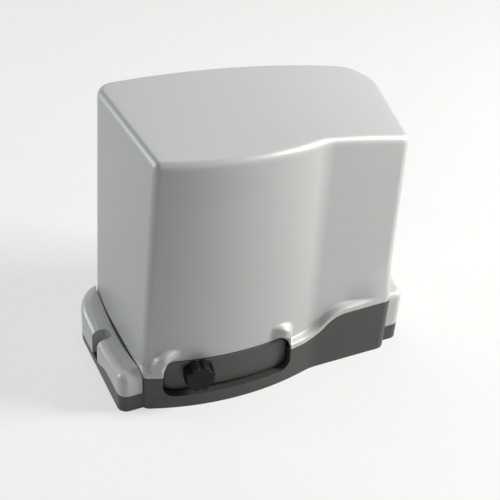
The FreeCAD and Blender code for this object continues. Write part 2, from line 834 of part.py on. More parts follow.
def notch(side, radius):
    """Scalloped notch for the hood's screw: round inside, open to the cover's outer face."""
    place = notch_place(side)
    scallop = Part.makeCylinder(radius, FAR, place)
    way_out = Part.makeBox(FAR, 2 * radius, FAR, place - Vector(FAR if side < 0 else 0, radius, 0))
    return scallop.fuse(way_out)


def side_cover(side):
    """A saddle-shaped shell that fills the flange beside the tub; side is -1 at the left, 1 right."""
    room = cover_block(side, val("cover_wall")).cut(notch(side, val("notch_radius + cover_wall")))
    shell = cover_block(side, 0).cut(room).cut(notch(side, val("notch_radius")))
    at, out = screw_place(side)
    reach = val("notch_stand")
    bore = Part.makeCylinder(val("hood_screw_radius + fit_running"), 2 * reach, at - out * reach, out)
    return max(shell.cut(bore).Solids, key=lambda solid: solid.Volume)


def notch_place(side):
    """Centre of a notch, in front of the hood's screw."""
    if side < 0:
        return Vector(-val("tub_left") - val("notch_stand"), val("notch_left_y"), 0)
    y = val("notch_right_y")
    return Vector(right_face(y) + val("notch_stand"), y, 0)


# ---------------------------------------------------------------- release lever
def involute_cam():
    """Cam whose flat follower moves the same distance for each degree: an involute of a circle.
    The follower's face meets it at the roll length s, straight behind the circle's right edge."""
    radius, start = val("cam_radius"), val("cam_start")
    end = start + val("stroke") + 0.2
    points = []
    for i in range(9):
        roll = start - 0.8 + (end - start + 0.8) * i / 8
        turn = -(roll - start) / radius
        x, y = radius, roll
        points.append(Vector(x * math.cos(turn) - y * math.sin(turn),
                             x * math.sin(turn) + y * math.cos(turn), 0))
    curve = Part.BSplineCurve()
    curve.interpolate(points)
    sides = [Part.LineSegment(points[-1], Vector(0, points[-1].y, 0)).toShape(),
             Part.LineSegment(Vector(0, points[-1].y, 0), Vector(-2, 0, 0)).toShape(),
             Part.LineSegment(Vector(-2, 0, 0), points[0]).toShape()]
    face = Part.Face(Part.Wire([curve.toShape()] + sides))
    return face.extrude(Vector(0, 0, 2 * val("cam_half")))


def release_lever():
    """Curved plate with its hinge knuckles and the cam that pushes the clutch rod."""
    front, back, _, _ = pocket_depths()
    tub = tub_outline()
    pivot = pivot_place()
    plate = prism(inset(tub, front), 0, FAR / 2).cut(prism(inset(tub, back), -1, FAR))
    plate = plate.common(lever_bar(0)).Solids[0]
    face = max(plate.Faces, key=lambda f: -f.CenterOfMass.y if f.Area > 1000 else -FAR)
    plate = plate.makeFillet(val("lever_edge"), face.Edges)
    # the end beyond the hinge is rounded, so that it swings clear of the recess
    low, high = val("lever_bottom"), val("lever_top")
    swing = val("pivot_reach + lever_gap") - 0.3
    beyond = Part.makeBox(FAR, FAR, FAR, Vector(pivot.x, -FAR / 2, 0))
    plate = plate.cut(beyond.cut(Part.makeCylinder(swing, FAR, pivot)))
    knuckle = Part.makeCylinder(val("knuckle_round"), high - low - 2 * val("lever_corner") / 2,
                                pivot + Vector(0, 0, low + val("lever_corner") / 2))
    behind = Part.makeBox(40, 40, FAR, pivot - Vector(20, 0.5, 0))
    plate = plate.fuse(knuckle.common(behind))
    # slot for the base's lug, open to the back and to the end
    lug_low, lug_high = lug_heights()
    gap = val("knuckle_gap")
    room = Part.makeCylinder(val("pivot_radius + knuckle_wall") + gap, lug_high - lug_low + 2 * gap,
                             pivot + Vector(0, 0, lug_low - gap))
    half = val("pivot_radius + knuckle_wall") - 0.6 + gap
    swept = Part.makeBox(40, 40, lug_high - lug_low + 2 * gap, pivot + Vector(-half, -half, lug_low - gap))
    plate = plate.cut(room.fuse(swept))
    # cam on the lower knuckle, level with the clutch rod
    cam_low = val("rod_z - cam_half")
    skin = val("pivot_depth - cam_skin")
    cleared = Part.makeBox(40, 40, 2 * val("cam_half"), pivot + Vector(-0.5, -skin, cam_low))
    keep = involute_cam()
    keep.translate(pivot + Vector(0, 0, cam_low))
    plate = plate.cut(cleared.cut(Part.makeCylinder(val("knuckle_round"), FAR, pivot))).fuse(keep)
    plate = plate.cut(Part.makeCylinder(val("pivot_radius + fit_running"), FAR, pivot))
    # bore for the knob's spindle
    at, out = knob_place()
    plate = plate.cut(Part.makeCylinder(val("spindle_radius + fit_running"), 60, at - out * 30, out))
    return max(plate.removeSplitter().Solids, key=lambda solid: solid.Volume)


def knob_place():
    """Point on the lever's face where the knob sits, and the direction it faces."""
    centre, radius = bow_circle()
    x = val("knob_x")
    y = bow_face(x, pocket_depths()[0])
    out = Vector(x - centre.x, y - centre.y, 0).normalize()
    return Vector(x, y, val("knob_z")), out


node(feature("BaseCasting", base_casting()), "base_casting")
node(feature("Hood", hood()), "hood")
node(feature("LeftSideCover", side_cover(-1)), "left_side_cover")
node(feature("RightSideCover", side_cover(1)), "right_side_cover")
node(feature("ReleaseLever", release_lever()), "release_lever")


def gasket():
    """Sealing strip under the hood's rim, all round the tub."""
    rim = tub_outline(val("hood_lip"))
    strip = prism(rim, 0, FAR / 2).cut(prism(inset(rim, val("hood_wall")), -1, FAR))
    low = val("seam_gap") / 2
    strip = strip.common(under_seam(low + val("gasket_height"))).cut(under_seam(low))
    clear = val("nose_radius + cover_gap")
    gap = Part.makeBox(2 * clear, 60, FAR, Vector(val("output_x") - clear, val("tub_rear") - 30, 0))
    return strip.cut(gap.fuse(lever_bar(val("lever_gap"))))


def hood_screws():
    """One screw each side, from the cover's notch through the tub's wall into the hood's tab."""
    stand, radius, head_radius = val("notch_stand"), val("notch_radius"), val("hood_screw_head")
    # the round notch meets the rim of the screw's head
    seat = stand - math.sqrt(radius ** 2 - head_radius ** 2) + val("fit_running")
    screws = []
    for side in (-1, 1):
        at, out = screw_place(side)
        head = Part.makeCylinder(head_radius, 3, at + out * seat, out)
        socket = Part.makeCylinder(val("hood_screw_radius"), 1.8, at + out * (seat + 1.2), out)
        shank = Part.makeCylinder(val("hood_screw_radius"), seat + val("base_wall + tab_thick") + 4,
                                  at + out * seat, -out)
        screws.append(head.cut(socket).fuse(shank))
    return Part.Compound(screws)


def levelling_screws():
    """Set screws with hexagon sockets that level the motor on its plate."""
    screws = []
    for x, y in levelling_places():
        stud = Part.makeCylinder(val("level_radius"), val("level_height") + 1.5, Vector(x, y, 0.2))
        flats = Part.makePolygon([Vector(2.3 * math.cos(i * math.pi / 3), 2.3 * math.sin(i * math.pi / 3), 0)
                                  for i in range(7)])
        socket = Part.Face(flats).extrude(Vector(0, 0, 5))
        socket.translate(Vector(x, y, val("level_height") - 2))
        screws.append(stud.cut(socket))
    return Part.Compound(screws)


node(feature("Gasket", gasket()), "hood_gasket")
node(feature("HoodScrews", hood_screws()), "hood_screws")
node(feature("LevellingScrews", levelling_screws()), "levelling_screws")

pivot_at = pivot_place()
pin = cylinder("LeverPin", "pivot_radius", "lever_top - lever_bottom - lever_corner", (0, 0, 0))
place(pin, "pivot_x", str(round(pivot_at.y, 4)), "lever_bottom + lever_corner / 2")
node(pin, "lever_hinge_pin")


# ---------------------------------------------------------------- knob and its lock
def circle_sketch(body, name, centre, radius):
    """A circle on the body's ground plane, held by formulas."""
    sketch = body.newObject("Sketcher::SketchObject", name)
    sketch.AttachmentSupport = [(origin_plane(body, "XY_Plane"), "")]
    sketch.MapMode = "FlatFace"
    seeds = [val(centre[0]), val(centre[1])]
    sketch.addGeometry(Part.Circle(Vector(*seeds, 0), Vector(0, 0, 1), val(radius)), False)
    limits = [("DistanceX", centre[0], seeds[0]), ("DistanceY", centre[1], seeds[1])]
    for kind, text, seed in limits:
        at = sketch.addConstraint(Sketcher.Constraint(kind, -1, 1, 0, 3, seed))
        sketch.setExpression("Constraints[%d]" % at, formula(text))
    at = sketch.addConstraint(Sketcher.Constraint("Radius", 0, val(radius)))
    sketch.setExpression("Constraints[%d]" % at, formula(radius))
    return sketch


def release_knob():
    """Fluted knob: a padded disc, one scallop and its polar pattern, and a chamfered face."""
    body = doc.addObject("PartDesign::Body", "ReleaseKnob")
    pad = body.newObject("PartDesign::Pad", "KnobDisc")
    pad.Profile = circle_sketch(body, "KnobRim", ("0", "0"), "knob_radius")
    bind(pad, Length="knob_height")
    doc.recompute()
    scallop = body.newObject("PartDesign::Pocket", "KnobScallop")
    scallop.Profile = circle_sketch(body, "KnobFlute", ("knob_radius + knob_flute_radius * 0.45", "0"),
                                    "knob_flute_radius")
    scallop.Reversed = True
    scallop.Type = "ThroughAll"
    doc.recompute()
    pattern = body.newObject("PartDesign::PolarPattern", "KnobFlutes")
    pattern.Originals = [scallop]
    pattern.Axis = (origin_axis(body, "Z_Axis"), [""])
    pattern.Angle = 360
    bind(pattern, Occurrences="knob_flutes")
    body.Tip = pattern
    doc.recompute()
    top = val("knob_height")
    names = ["Edge%d" % (i + 1) for i, e in enumerate(pattern.Shape.Edges)
             if e.BoundBox.ZMin > top - 0.01]
    bevel = body.newObject("PartDesign::Chamfer", "KnobBevel")
    bevel.Base = (pattern, names)
    bind(bevel, Size="knob_bevel")
    body.Tip = bevel
    doc.recompute()
    return body


def origin_axis(body, role):
    return next(f for f in body.Origin.OriginFeatures if f.Role == role)


knob_at, knob_out = knob_place()
knob_turn = Rotation(Vector(), Vector(0, 0, 1), knob_out, "ZYX")
knob = node(release_knob(), "release_knob")
knob.Placement = Placement(knob_at + knob_out * val("knob_gap"), knob_turn)

spindle = cylinder("SpindleStem", "spindle_radius", "knob_gap + lever_thick + keeper_gap + keeper_thick"
                   " + tongue_gap + tongue_thick", (0, 0, "-(lever_thick + keeper_gap + keeper_thick"
                   " + tongue_gap + tongue_thick)"))
tongue = box("SpindleTongue",
             ("-tongue_width / 2", "-spindle_radius",
              "-(lever_thick + keeper_gap + keeper_thick + tongue_gap + tongue_thick)"),
             ("tongue_width / 2", "tongue_length", "-(lever_thick + keeper_gap + keeper_thick + tongue_gap)"))
lock = node(fuse("LockSpindle", [spindle, tongue]), "lock_spindle")
lock.Placement = Placement(knob_at, knob_turn)


# ---------------------------------------------------------------- gear case
case_outer = "(case_cavity + case_wall)"
tunnel_outer = "(worm_bearing_outer + tunnel_wall)"
tunnel_left = "(output_x - worm_bearing_reach)"
case_body = fuse("CaseBody", [
    cylinder("CaseDrum", case_outer, "case_rear - case_front", ("output_x", "case_front", "output_z"), "Y"),
    box("CaseFoot", ("output_x - foot_half", "case_front", "base_floor"),
        ("output_x + foot_half", "case_rear", "output_z")),
    box("CaseFlange", ("output_x - foot_half - foot_flange", "case_front", "base_floor"),
        ("output_x + foot_half + foot_flange", "case_rear", "base_floor + foot_flange_thick")),
    cylinder("CaseNose", "nose_radius", "nose_end - case_rear + 1",
             ("output_x", "case_rear - 1", "output_z"), "Y"),
    cylinder("CaseTunnel", tunnel_outer, "2 * worm_bearing_reach + flange_thick",
             (tunnel_left, "wheel_y", "worm_z"), "X"),
    cylinder("CaseMotorFlange", "can_radius + flange_lap", "flange_thick",
             (tunnel_left + " - flange_thick", "wheel_y", "worm_z"), "X"),
    box("CaseShelf", ("output_x - shelf_half", "case_rear - 20", "limit_z - limit_body_half - shelf_thick"),
        ("output_x + shelf_half", "tub_rear - 6", "limit_z - limit_body_half")),
    box("CaseBoss", ("output_x - shelf_half", "board_back", "worm_z + 10"),
        ("output_x + shelf_half", "wheel_y", "worm_z + tunnel_wall + worm_bearing_outer + 2")),
])
case_room = [
    cylinder("CaseCavity", "case_cavity", "case_rear - case_rear_wall - case_front + 1",
             ("output_x", "case_front - 1", "output_z"), "Y"),
    cylinder("CaseWormBore", "worm_bearing_outer", "2 * worm_bearing_reach + flange_thick + 1",
             (tunnel_left + " - flange_thick - 1", "wheel_y", "worm_z"), "X"),
    cylinder("CaseBearingSeat", "rear_bearing_outer", "rear_bearing_y + rear_bearing_width - 30",
             ("output_x", "30", "output_z"), "Y"),
    cylinder("CaseShaftWay", "rear_bearing_outer - 4", "nose_end",
             ("output_x", "rear_bearing_y", "output_z"), "Y"),
    cylinder("CaseSealSeat", "rear_bearing_outer", "nose_end", ("output_x", "seal_y", "output_z"), "Y"),
    box("CaseForkRoom", ("output_x - collar_radius - 5", "fork_front - 1", "rod_z - rod_radius - 2"),
        ("output_x + collar_radius + 5", "fork_front + fork_thick + stroke + 1", "output_z")),
    cylinder("CaseCanWay", "can_radius + fit_running", "30", ("motor_front - 30", "wheel_y", "worm_z"), "X"),
    cylinder("CaseRodBore", "rod_radius + fit_running", "case_rear - case_front + 2",
             ("output_x", "case_front - 1", "rod_z"), "Y"),
]
node(cut("GearCase", case_body, case_room), "gear_case")

cover_points = [
    ("0", "0"), ("0", "front_bearing_outer + 5"), ("case_front - cover_plate - front_bearing_y + 2",
     "front_bearing_outer + 5"), ("case_front - cover_plate - front_bearing_y + 2", case_outer),
    ("case_front - front_bearing_y + 2", case_outer), ("case_front - front_bearing_y + 2",
     "case_cavity - fit_running"), ("case_front - front_bearing_y + 5", "case_cavity - fit_running"),
    ("case_front - front_bearing_y + 5", "front_bearing_outer"), ("2", "front_bearing_outer"), ("2", "0"),
]
case_cover = turned("CaseCoverDisc", cover_points, "Y", ("output_x", "front_bearing_y - 2", "output_z"))
rod_way = cylinder("CoverRodWay", "rod_radius + 0.5", "60", ("output_x", "-60", "rod_z"), "Y")
tunnel_way = cylinder("CoverTunnelWay", tunnel_outer + " + fit_running", "4 * worm_bearing_reach",
                      ("output_x - 2 * worm_bearing_reach", "wheel_y", "worm_z"), "X")
flange_way = cylinder("CoverFlangeWay", "can_radius + flange_lap + fit_running", "flange_thick + 10",
                      (tunnel_left + " - flange_thick - 10", "wheel_y", "worm_z"), "X")
node(cut("CaseCover", case_cover, [rod_way, tunnel_way, flange_way]), "gear_case_cover")


def screw_ring():
    """Cap screws of the gear case's front cover, spread along the lower half of its rim."""
    radius = val("case_cavity + case_wall / 2")
    count = int(val("case_screw_count"))
    face = val("case_front - cover_plate")
    screws = []
    for i in range(count):
        angle = math.radians(270 + (i - (count - 1) / 2) * val("case_screw_step"))
        at = Vector(val("output_x") + radius * math.cos(angle), face, val("output_z") + radius * math.sin(angle))
        head = Part.makeCylinder(val("case_screw_radius") * 1.7, val("case_screw_radius") * 2, at, Vector(0, -1, 0))
        socket = Part.makeCylinder(val("case_screw_radius") * 0.8, val("case_screw_radius"),
                                   at - Vector(0, val("case_screw_radius"), 0), Vector(0, -1, 0))
        screws.append(head.cut(socket))
    return Part.Compound(screws)


node(feature("CaseScrews", screw_ring()), "gear_case_screws")


# ---------------------------------------------------------------- bearings and seals
def bearing(name, label, inner, outer, width, at, axis):
    """A shielded ball bearing, turned: both faces are sunk between the rings."""
    land, sink = "(%s - %s) * 0.25" % (outer, inner), "0.8"
    near, far = "%s + %s" % (inner, land), "%s - %s" % (outer, land)
    points = [("0", inner), (width, inner), (width, near), ("%s - %s" % (width, sink), near),
              ("%s - %s" % (width, sink), far), (width, far), (width, outer), ("0", outer),
              ("0", far), (sink, far), (sink, near), ("0", near)]
    return node(turned(name, points, axis, at), label)


bearing("RearBearing", "rear_output_bearing", "shaft_radius + fit_running", "rear_bearing_outer",
        "rear_bearing_width", ("output_x", "rear_bearing_y", "output_z"), "Y")
bearing("FrontBearing", "front_output_bearing", "shaft_nose_radius + fit_running", "front_bearing_outer",
        "front_bearing_width", ("output_x", "front_bearing_y", "output_z"), "Y")
bearing("WormBearingMotor", "worm_bearing_motor_side", "worm_bearing_inner + fit_running",
        "worm_bearing_outer", "worm_bearing_width", (tunnel_left, "wheel_y", "worm_z"), "X")
bearing("WormBearingEnd", "worm_bearing_end_side", "worm_bearing_inner + fit_running",
        "worm_bearing_outer", "worm_bearing_width",
        ("output_x + worm_bearing_reach - worm_bearing_width", "wheel_y", "worm_z"), "X")
node(ring("OilSeal", "shaft_radius + fit_running", "rear_bearing_outer", "seal_width",
          ("output_x", "seal_y", "output_z"), "Y"), "output_oil_seal")


# ---------------------------------------------------------------- output shaft and pinion
shaft_end = "(pinion_y + pinion_width - front_bearing_y)"
shaft_points = [
    ("0", "0"), ("0", "shaft_nose_radius"), ("front_bearing_width", "shaft_nose_radius"),
    ("front_bearing_width", "shaft_radius + 2.5"),
    ("wheel_y - wheel_width / 2 - front_bearing_y - 0.3", "shaft_radius + 2.5"),
    ("wheel_y - wheel_width / 2 - front_bearing_y - 0.3", "shaft_radius"),
    ("pinion_y - front_bearing_y", "shaft_radius"), ("pinion_y - front_bearing_y", "shaft_nose_radius"),
    (shaft_end, "shaft_nose_radius"), (shaft_end, "0"),
]
shaft = turned("ShaftBar", shaft_points, "Y", ("output_x", "front_bearing_y", "output_z"))
key_low = "output_z + shaft_nose_radius - key_width / 2"
key_front = "pinion_y + (pinion_width - key_length) / 2"
shaft_cuts = [
    box("ShaftFlatLeft", ("output_x - shaft_radius - 1", "wheel_y + wheel_width / 2 + 1", "output_z - shaft_radius"),
        ("output_x - flat_half", "rear_bearing_y - 3", "output_z + shaft_radius")),
    box("ShaftFlatRight", ("output_x + flat_half", "wheel_y + wheel_width / 2 + 1", "output_z - shaft_radius"),
        ("output_x + shaft_radius + 1", "rear_bearing_y - 3", "output_z + shaft_radius")),
    box("ShaftKeyway", ("output_x - key_width / 2", key_front, key_low),
        ("output_x + key_width / 2", key_front + " + key_length", "output_z + 2 * shaft_radius")),
    cylinder("ShaftThread", "pinion_screw_radius + fit_running", "key_length",
             ("output_x", "pinion_y + pinion_width - key_length + 1", "output_z"), "Y"),
]
node(cut("OutputShaft", shaft, shaft_cuts), "output_shaft")
node(box("ShaftKey", ("output_x - key_width / 2", key_front, key_low),
         ("output_x + key_width / 2", key_front + " + key_length", key_low + " + key_width")), "pinion_key")


def gear_wire(module, teeth, narrow, steps, turn=0.0):
    """Closed wire of an involute spur gear of 20 degrees; narrow is taken off each tooth's width."""
    pitch = module * teeth / 2
    base = pitch * math.cos(math.radians(20))
    root, tip = pitch - 1.25 * module, pitch + module
    involute = math.tan(math.radians(20)) - math.radians(20)
    half = math.pi / 2 / teeth - narrow / 2 / pitch
    flank = []
    for i in range(steps + 1):
        radius = max(base, root) + (tip - max(base, root)) * i / steps
        angle = math.acos(min(1.0, base / radius))
        flank.append((radius, half + involute - (math.tan(angle) - angle)))
    if root < base:
        flank.insert(0, (root, flank[0][1]))
    points = []
    for i in range(teeth):
        middle = 2 * math.pi * i / teeth + turn
        for radius, angle in flank:
            points.append(Vector(radius * math.cos(middle - angle), radius * math.sin(middle - angle), 0))
        for radius, angle in reversed(flank):
            points.append(Vector(radius * math.cos(middle + angle), radius * math.sin(middle + angle), 0))
    return Part.makePolygon(points + points[:1])


def output_pinion():
    """Spur pinion for the gate's rack, with a keyed bore."""
    wire = gear_wire(val("pinion_module"), int(val("pinion_teeth")), 0.1, 5,
                     math.pi / val("pinion_teeth"))
    width = val("pinion_width")
    blank = Part.Face(wire).extrude(Vector(0, 0, width))
    tip = val("pinion_module") * (val("pinion_teeth") / 2 + 1)
    bevel = Part.makeCone(tip - 1.5, tip - 1.5 + width / 2, width / 2).fuse(
        Part.makeCone(tip - 1.5 + width / 2, tip - 1.5, width / 2, Vector(0, 0, width / 2)))
    blank = blank.common(bevel)
    bore = Part.makeCylinder(val("shaft_nose_radius + fit_running"), width)
    half, top = val("key_width / 2"), val("shaft_nose_radius + key_width / 2")
    blank = blank.cut(bore)
    blank.Placement = Placement(Vector(val("output_x"), val("pinion_y"), val("output_z")), AXIS["Y"])
    keyway = Part.makeBox(2 * half, width, top, Vector(val("output_x") - half, val("pinion_y"), val("output_z")))
    return blank.cut(keyway).Solids[0]


node(feature("OutputPinion", output_pinion()), "output_pinion")
washer = cylinder("PinionWasher", "washer_radius", "washer_thick",
                  ("output_x", "pinion_y + pinion_width", "output_z"), "Y")
screw_end = "pinion_y + pinion_width + washer_thick"
head = cylinder("PinionScrewHead", "1.7 * pinion_screw_radius", "pinion_screw_radius * 1.4",
                ("output_x", screw_end, "output_z"), "Y")
socket = cylinder("PinionScrewSocket", "pinion_screw_radius * 0.8", "pinion_screw_radius * 1.4",
                  ("output_x", screw_end + " + pinion_screw_radius * 0.6", "output_z"), "Y")
shank = cylinder("PinionScrewShank", "pinion_screw_radius", "key_length - 4",
                 ("output_x", screw_end + " - key_length + 4", "output_z"), "Y")
screw = cut("PinionScrewBody", fuse("PinionScrewStock", [head, shank]), [socket])
washer_hole = cylinder("PinionWasherHole", "pinion_screw_radius", "washer_thick",
                       ("output_x", "pinion_y + pinion_width", "output_z"), "Y")
node(cut("PinionWasherRing", washer, [washer_hole]), "pinion_washer")
node(screw, "pinion_screw")


# ---------------------------------------------------------------- worm wheel, clutch collar and fork
def dogs(front, rear, outer, phase):
    """Ring of clutch teeth round the output axis, between two levels along Y."""
    count = int(val("dog_count"))
    span = 180 / count - val("dog_slack")
    ring_shape = Part.makeCylinder(outer, rear - front).cut(Part.makeCylinder(val("dog_inner"), rear - front))
    teeth = []
    for i in range(count):
        wedge = Part.makeCylinder(outer + 1, rear - front, Vector(), Vector(0, 0, 1), span)
        wedge.rotate(Vector(), Vector(0, 0, 1), 360 * (i + phase) / count - span / 2)
        teeth.append(wedge.common(ring_shape))
    shape = teeth[0].fuse(teeth[1:])
    shape.Placement = Placement(Vector(val("output_x"), front, val("output_z")), AXIS["Y"])
    return shape


wheel_front, wheel_rear = "wheel_y - wheel_width / 2", "wheel_y + wheel_width / 2"
rim_inner = "(gear_module * wheel_teeth / 2 - rim_depth)"
hub_points = [
    ("0", "shaft_radius + fit_running"), ("wheel_width", "shaft_radius + fit_running"),
    ("wheel_width", "hub_radius"), ("wheel_width - 3", "hub_radius"), ("wheel_width - 3", rim_inner),
    ("3", rim_inner), ("3", "hub_radius"), ("0", "hub_radius"),
]
hub = turned("WheelHubDisc", hub_points, "Y", ("output_x", wheel_front, "output_z"))
hub_dogs = feature("WheelDogs", dogs(val(wheel_rear) - 0.5, val(wheel_rear) + val("dog_height"),
                                     val("hub_radius"), 0))
node(fuse("WheelHub", [hub, hub_dogs]), "worm_wheel_hub")


def worm_wheel_rim():
    """Bronze rim whose teeth lean with the worm's lead: a loft that turns the outline across the
    width.  A gap between teeth faces the worm."""
    module, teeth, width = val("gear_module"), int(val("wheel_teeth")), val("wheel_width")
    lean = module / 2 / val("worm_pitch_radius") * width / (module * teeth / 2)
    narrow = val("tooth_backlash")
    gap = math.pi / 2 + math.pi / teeth
    front = gear_wire(module, teeth, narrow, 3, gap - lean / 2)
    rear = gear_wire(module, teeth, narrow, 3, gap + lean / 2)
    rear.translate(Vector(0, 0, width))
    blank = Part.makeLoft([front, rear], True, True)
    blank = blank.cut(Part.makeCylinder(val(rim_inner), width))
    blank.Placement = Placement(Vector(val("output_x"), val(wheel_front), val("output_z")), AXIS["Y"])
    return blank.Solids[0]


node(feature("WheelRim", worm_wheel_rim()), "worm_wheel_rim")

groove_front = "(collar_length - collar_groove_width) / 2"
groove_rear = "(collar_length + collar_groove_width) / 2"
collar_points = [
    ("0", "shaft_radius + 2"), ("collar_length", "shaft_radius + 2"), ("collar_length", "collar_radius"),
    (groove_rear, "collar_radius"), (groove_rear, "collar_groove_radius"),
    (groove_front, "collar_groove_radius"), (groove_front, "collar_radius"), ("0", "collar_radius"),
]
collar_ring = turned("CollarRing", collar_points, "Y", ("output_x", "collar_y", "output_z"))
collar_core = cylinder("CollarCore", "shaft_radius + 2.2", "collar_length",
                       ("output_x", "collar_y", "output_z"), "Y")
collar_bore = common("CollarBore", [
    cylinder("CollarBoreRound", "shaft_radius + fit_running", "collar_length",
             ("output_x", "collar_y", "output_z"), "Y"),
    box("CollarBoreFlats", ("output_x - flat_half - fit_running", "collar_y", "output_z - 2 * shaft_radius"),
        ("output_x + flat_half + fit_running", "collar_y + collar_length", "output_z + 2 * shaft_radius")),
])
collar_dogs = feature("CollarDogs", dogs(val("collar_y - dog_height"), val("collar_y") + 0.5,
                                         val("hub_radius"), 0.5))
node(cut("ClutchCollar", fuse("CollarBody", [collar_ring, collar_core, collar_dogs]), [collar_bore]),
     "clutch_collar")


def release_fork():
    """Rod pushed by the lever's cam, and the fork that carries the clutch collar."""
    x, z, radius = val("output_x"), val("output_z"), val("rod_radius")
    rod_z, front, thick = val("rod_z"), val("fork_front"), val("fork_thick")
    pivot = pivot_place()
    tip, full = pivot.y + val("cam_start + cam_gap"), pivot.y + 2 * val("cam_start")
    along = Vector(0, 1, 0)
    rod = Part.makeCylinder(radius, val("case_rear") - 3 - tip, Vector(x, tip, rod_z), along)
    tongue_half = val("cam_half - knuckle_gap")
    flat = Part.makeBox(3, full - tip, 2 * tongue_half, Vector(x - 1.5, tip, rod_z - tongue_half))
    rod = rod.cut(Part.makeCylinder(radius + 1, full - tip, Vector(x, tip, rod_z), along).cut(flat))
    inner = val("collar_groove_radius") + 0.4
    plate = Part.makeCylinder(inner + 8, thick, Vector(x, front, z), along)
    plate = plate.cut(Part.makeBox(FAR, thick, FAR, Vector(x - FAR / 2, front, z + inner / 3)))
    stem = Part.makeBox(18, thick, z - inner - rod_z + 2, Vector(x - 9, front, rod_z - 2))
    plate = plate.fuse(stem).cut(Part.makeCylinder(inner, thick, Vector(x, front, z), along))
    return plate.fuse(rod).removeSplitter().Solids[0]


node(feature("ReleaseFork", release_fork()), "release_fork")


# ---------------------------------------------------------------- worm and motor
worm_right = "output_x + worm_bearing_reach"
core_left = "(motor_front - 4 - winding_length - core_length)"
commutator_right = "(motor_front - 5 - 2 * winding_length - core_length)"
motor_rear = "(motor_front - can_length)"


def worm_shaft():
    """Worm thread on its shaft: a screw sweep of the straight-sided tooth, trimmed to length."""
    module, length = val("gear_module"), val("worm_length")
    pitch, radius = math.pi * module, val("worm_pitch_radius")
    root, tip = radius - 1.2 * module, radius + module
    slope = math.tan(math.radians(20))
    half = pitch / 4 - val("tooth_backlash") / 4
    low, high = half + (radius - root + 0.4) * slope, half - module * slope
    turns = 2 * math.ceil(length / pitch / 2)
    helix = Part.makeHelix(pitch, pitch * turns, root)
    section = Part.makePolygon([Vector(root - 0.4, 0, -low), Vector(tip, 0, -high), Vector(tip, 0, high),
                                Vector(root - 0.4, 0, low), Vector(root - 0.4, 0, -low)])
    thread = Part.Wire(helix).makePipeShell([section], True, True)
    # half of an even number of turns: at its centre the thread faces the wheel
    thread.translate(Vector(0, 0, -pitch * turns / 2))
    thread = thread.common(Part.makeCylinder(tip + 1, length, Vector(0, 0, -length / 2)))
    thread = thread.fuse(Part.makeCylinder(root, length + 4, Vector(0, 0, -length / 2 - 2)))
    thread = Part.Compound([thread])
    thread.Placement = Placement(Vector(val("output_x"), val("wheel_y"), val("worm_z")), AXIS["X"])
    journal = val("worm_bearing_inner")
    left, right = val(core_left) - val("winding_length"), val(worm_right)
    at = Vector(left, val("wheel_y"), val("worm_z"))
    bar = Part.makeCylinder(journal, right - left, at, Vector(1, 0, 0))
    tail_left = val("motor_front - can_length - bell_length") + 3
    tail = Part.makeCylinder(val("tail_bearing_inner"), left - tail_left,
                             Vector(tail_left, at.y, at.z), Vector(1, 0, 0))
    return thread.fuse([bar, tail]).removeSplitter().Solids[0]


node(feature("WormShaft", worm_shaft()), "worm_shaft")
centre = ("wheel_y", "worm_z")
node(ring("RotorCore", "worm_bearing_inner", "core_radius", "core_length", (core_left, *centre), "X"),
     "rotor_core")
node(group("RotorWindings", [
    ring("WindingFront", "worm_bearing_inner", "core_radius - 5", "winding_length",
         (core_left + " + core_length", *centre), "X"),
    ring("WindingRear", "worm_bearing_inner", "core_radius - 5", "winding_length",
         (core_left + " - winding_length", *centre), "X"),
]), "rotor_windings")
node(ring("Commutator", "tail_bearing_inner", "commutator_radius", "commutator_length",
          (commutator_right + " - commutator_length", *centre), "X"), "commutator")
node(ring("MotorCan", "can_radius - can_wall", "can_radius", "can_length",
          (motor_rear, *centre), "X"), "motor_can")
magnet_ring = ring("MagnetRing", "can_radius - can_wall - magnet_thick", "can_radius - can_wall",
                   "core_length", (core_left, *centre), "X")
magnet_gap = box("MagnetGap", (core_left + " - 1", "wheel_y - can_radius", "worm_z - 9"),
                 (core_left + " + core_length + 1", "wheel_y + can_radius", "worm_z + 9"))
node(cut("MotorMagnets", magnet_ring, [magnet_gap]), "motor_magnets")
bell_points = [
    ("0", "0"), ("0", "can_radius - 6"), ("3", "can_radius"), ("bell_length", "can_radius"),
    ("bell_length", "can_radius - can_wall"), ("3", "can_radius - can_wall - 3"), ("3", "tail_bearing_outer + 5"),
    ("bell_length - 1", "tail_bearing_outer + 4"), ("bell_length - 1", "tail_bearing_outer"),
    ("2", "tail_bearing_outer"), ("2", "0"),
]
node(turned("MotorEndBell", bell_points, "X", (motor_rear + " - bell_length", *centre)), "motor_end_bell")
bearing("TailBearing", "motor_tail_bearing", "tail_bearing_inner + fit_running", "tail_bearing_outer",
        "tail_bearing_width", (motor_rear + " - bell_length + 2", *centre), "X")
brush_left = commutator_right + " - commutator_length + 2"
node(group("MotorBrushes", [
    box("BrushFront", (brush_left, "wheel_y - can_radius + can_wall + 0.3", "worm_z - 5"),
        (brush_left + " + 6", "wheel_y - commutator_radius - 0.3", "worm_z + 5")),
    box("BrushRear", (brush_left, "wheel_y + commutator_radius + 0.3", "worm_z - 5"),
        (brush_left + " + 6", "wheel_y + can_radius - can_wall - 0.3", "worm_z + 5")),
]), "motor_brushes")


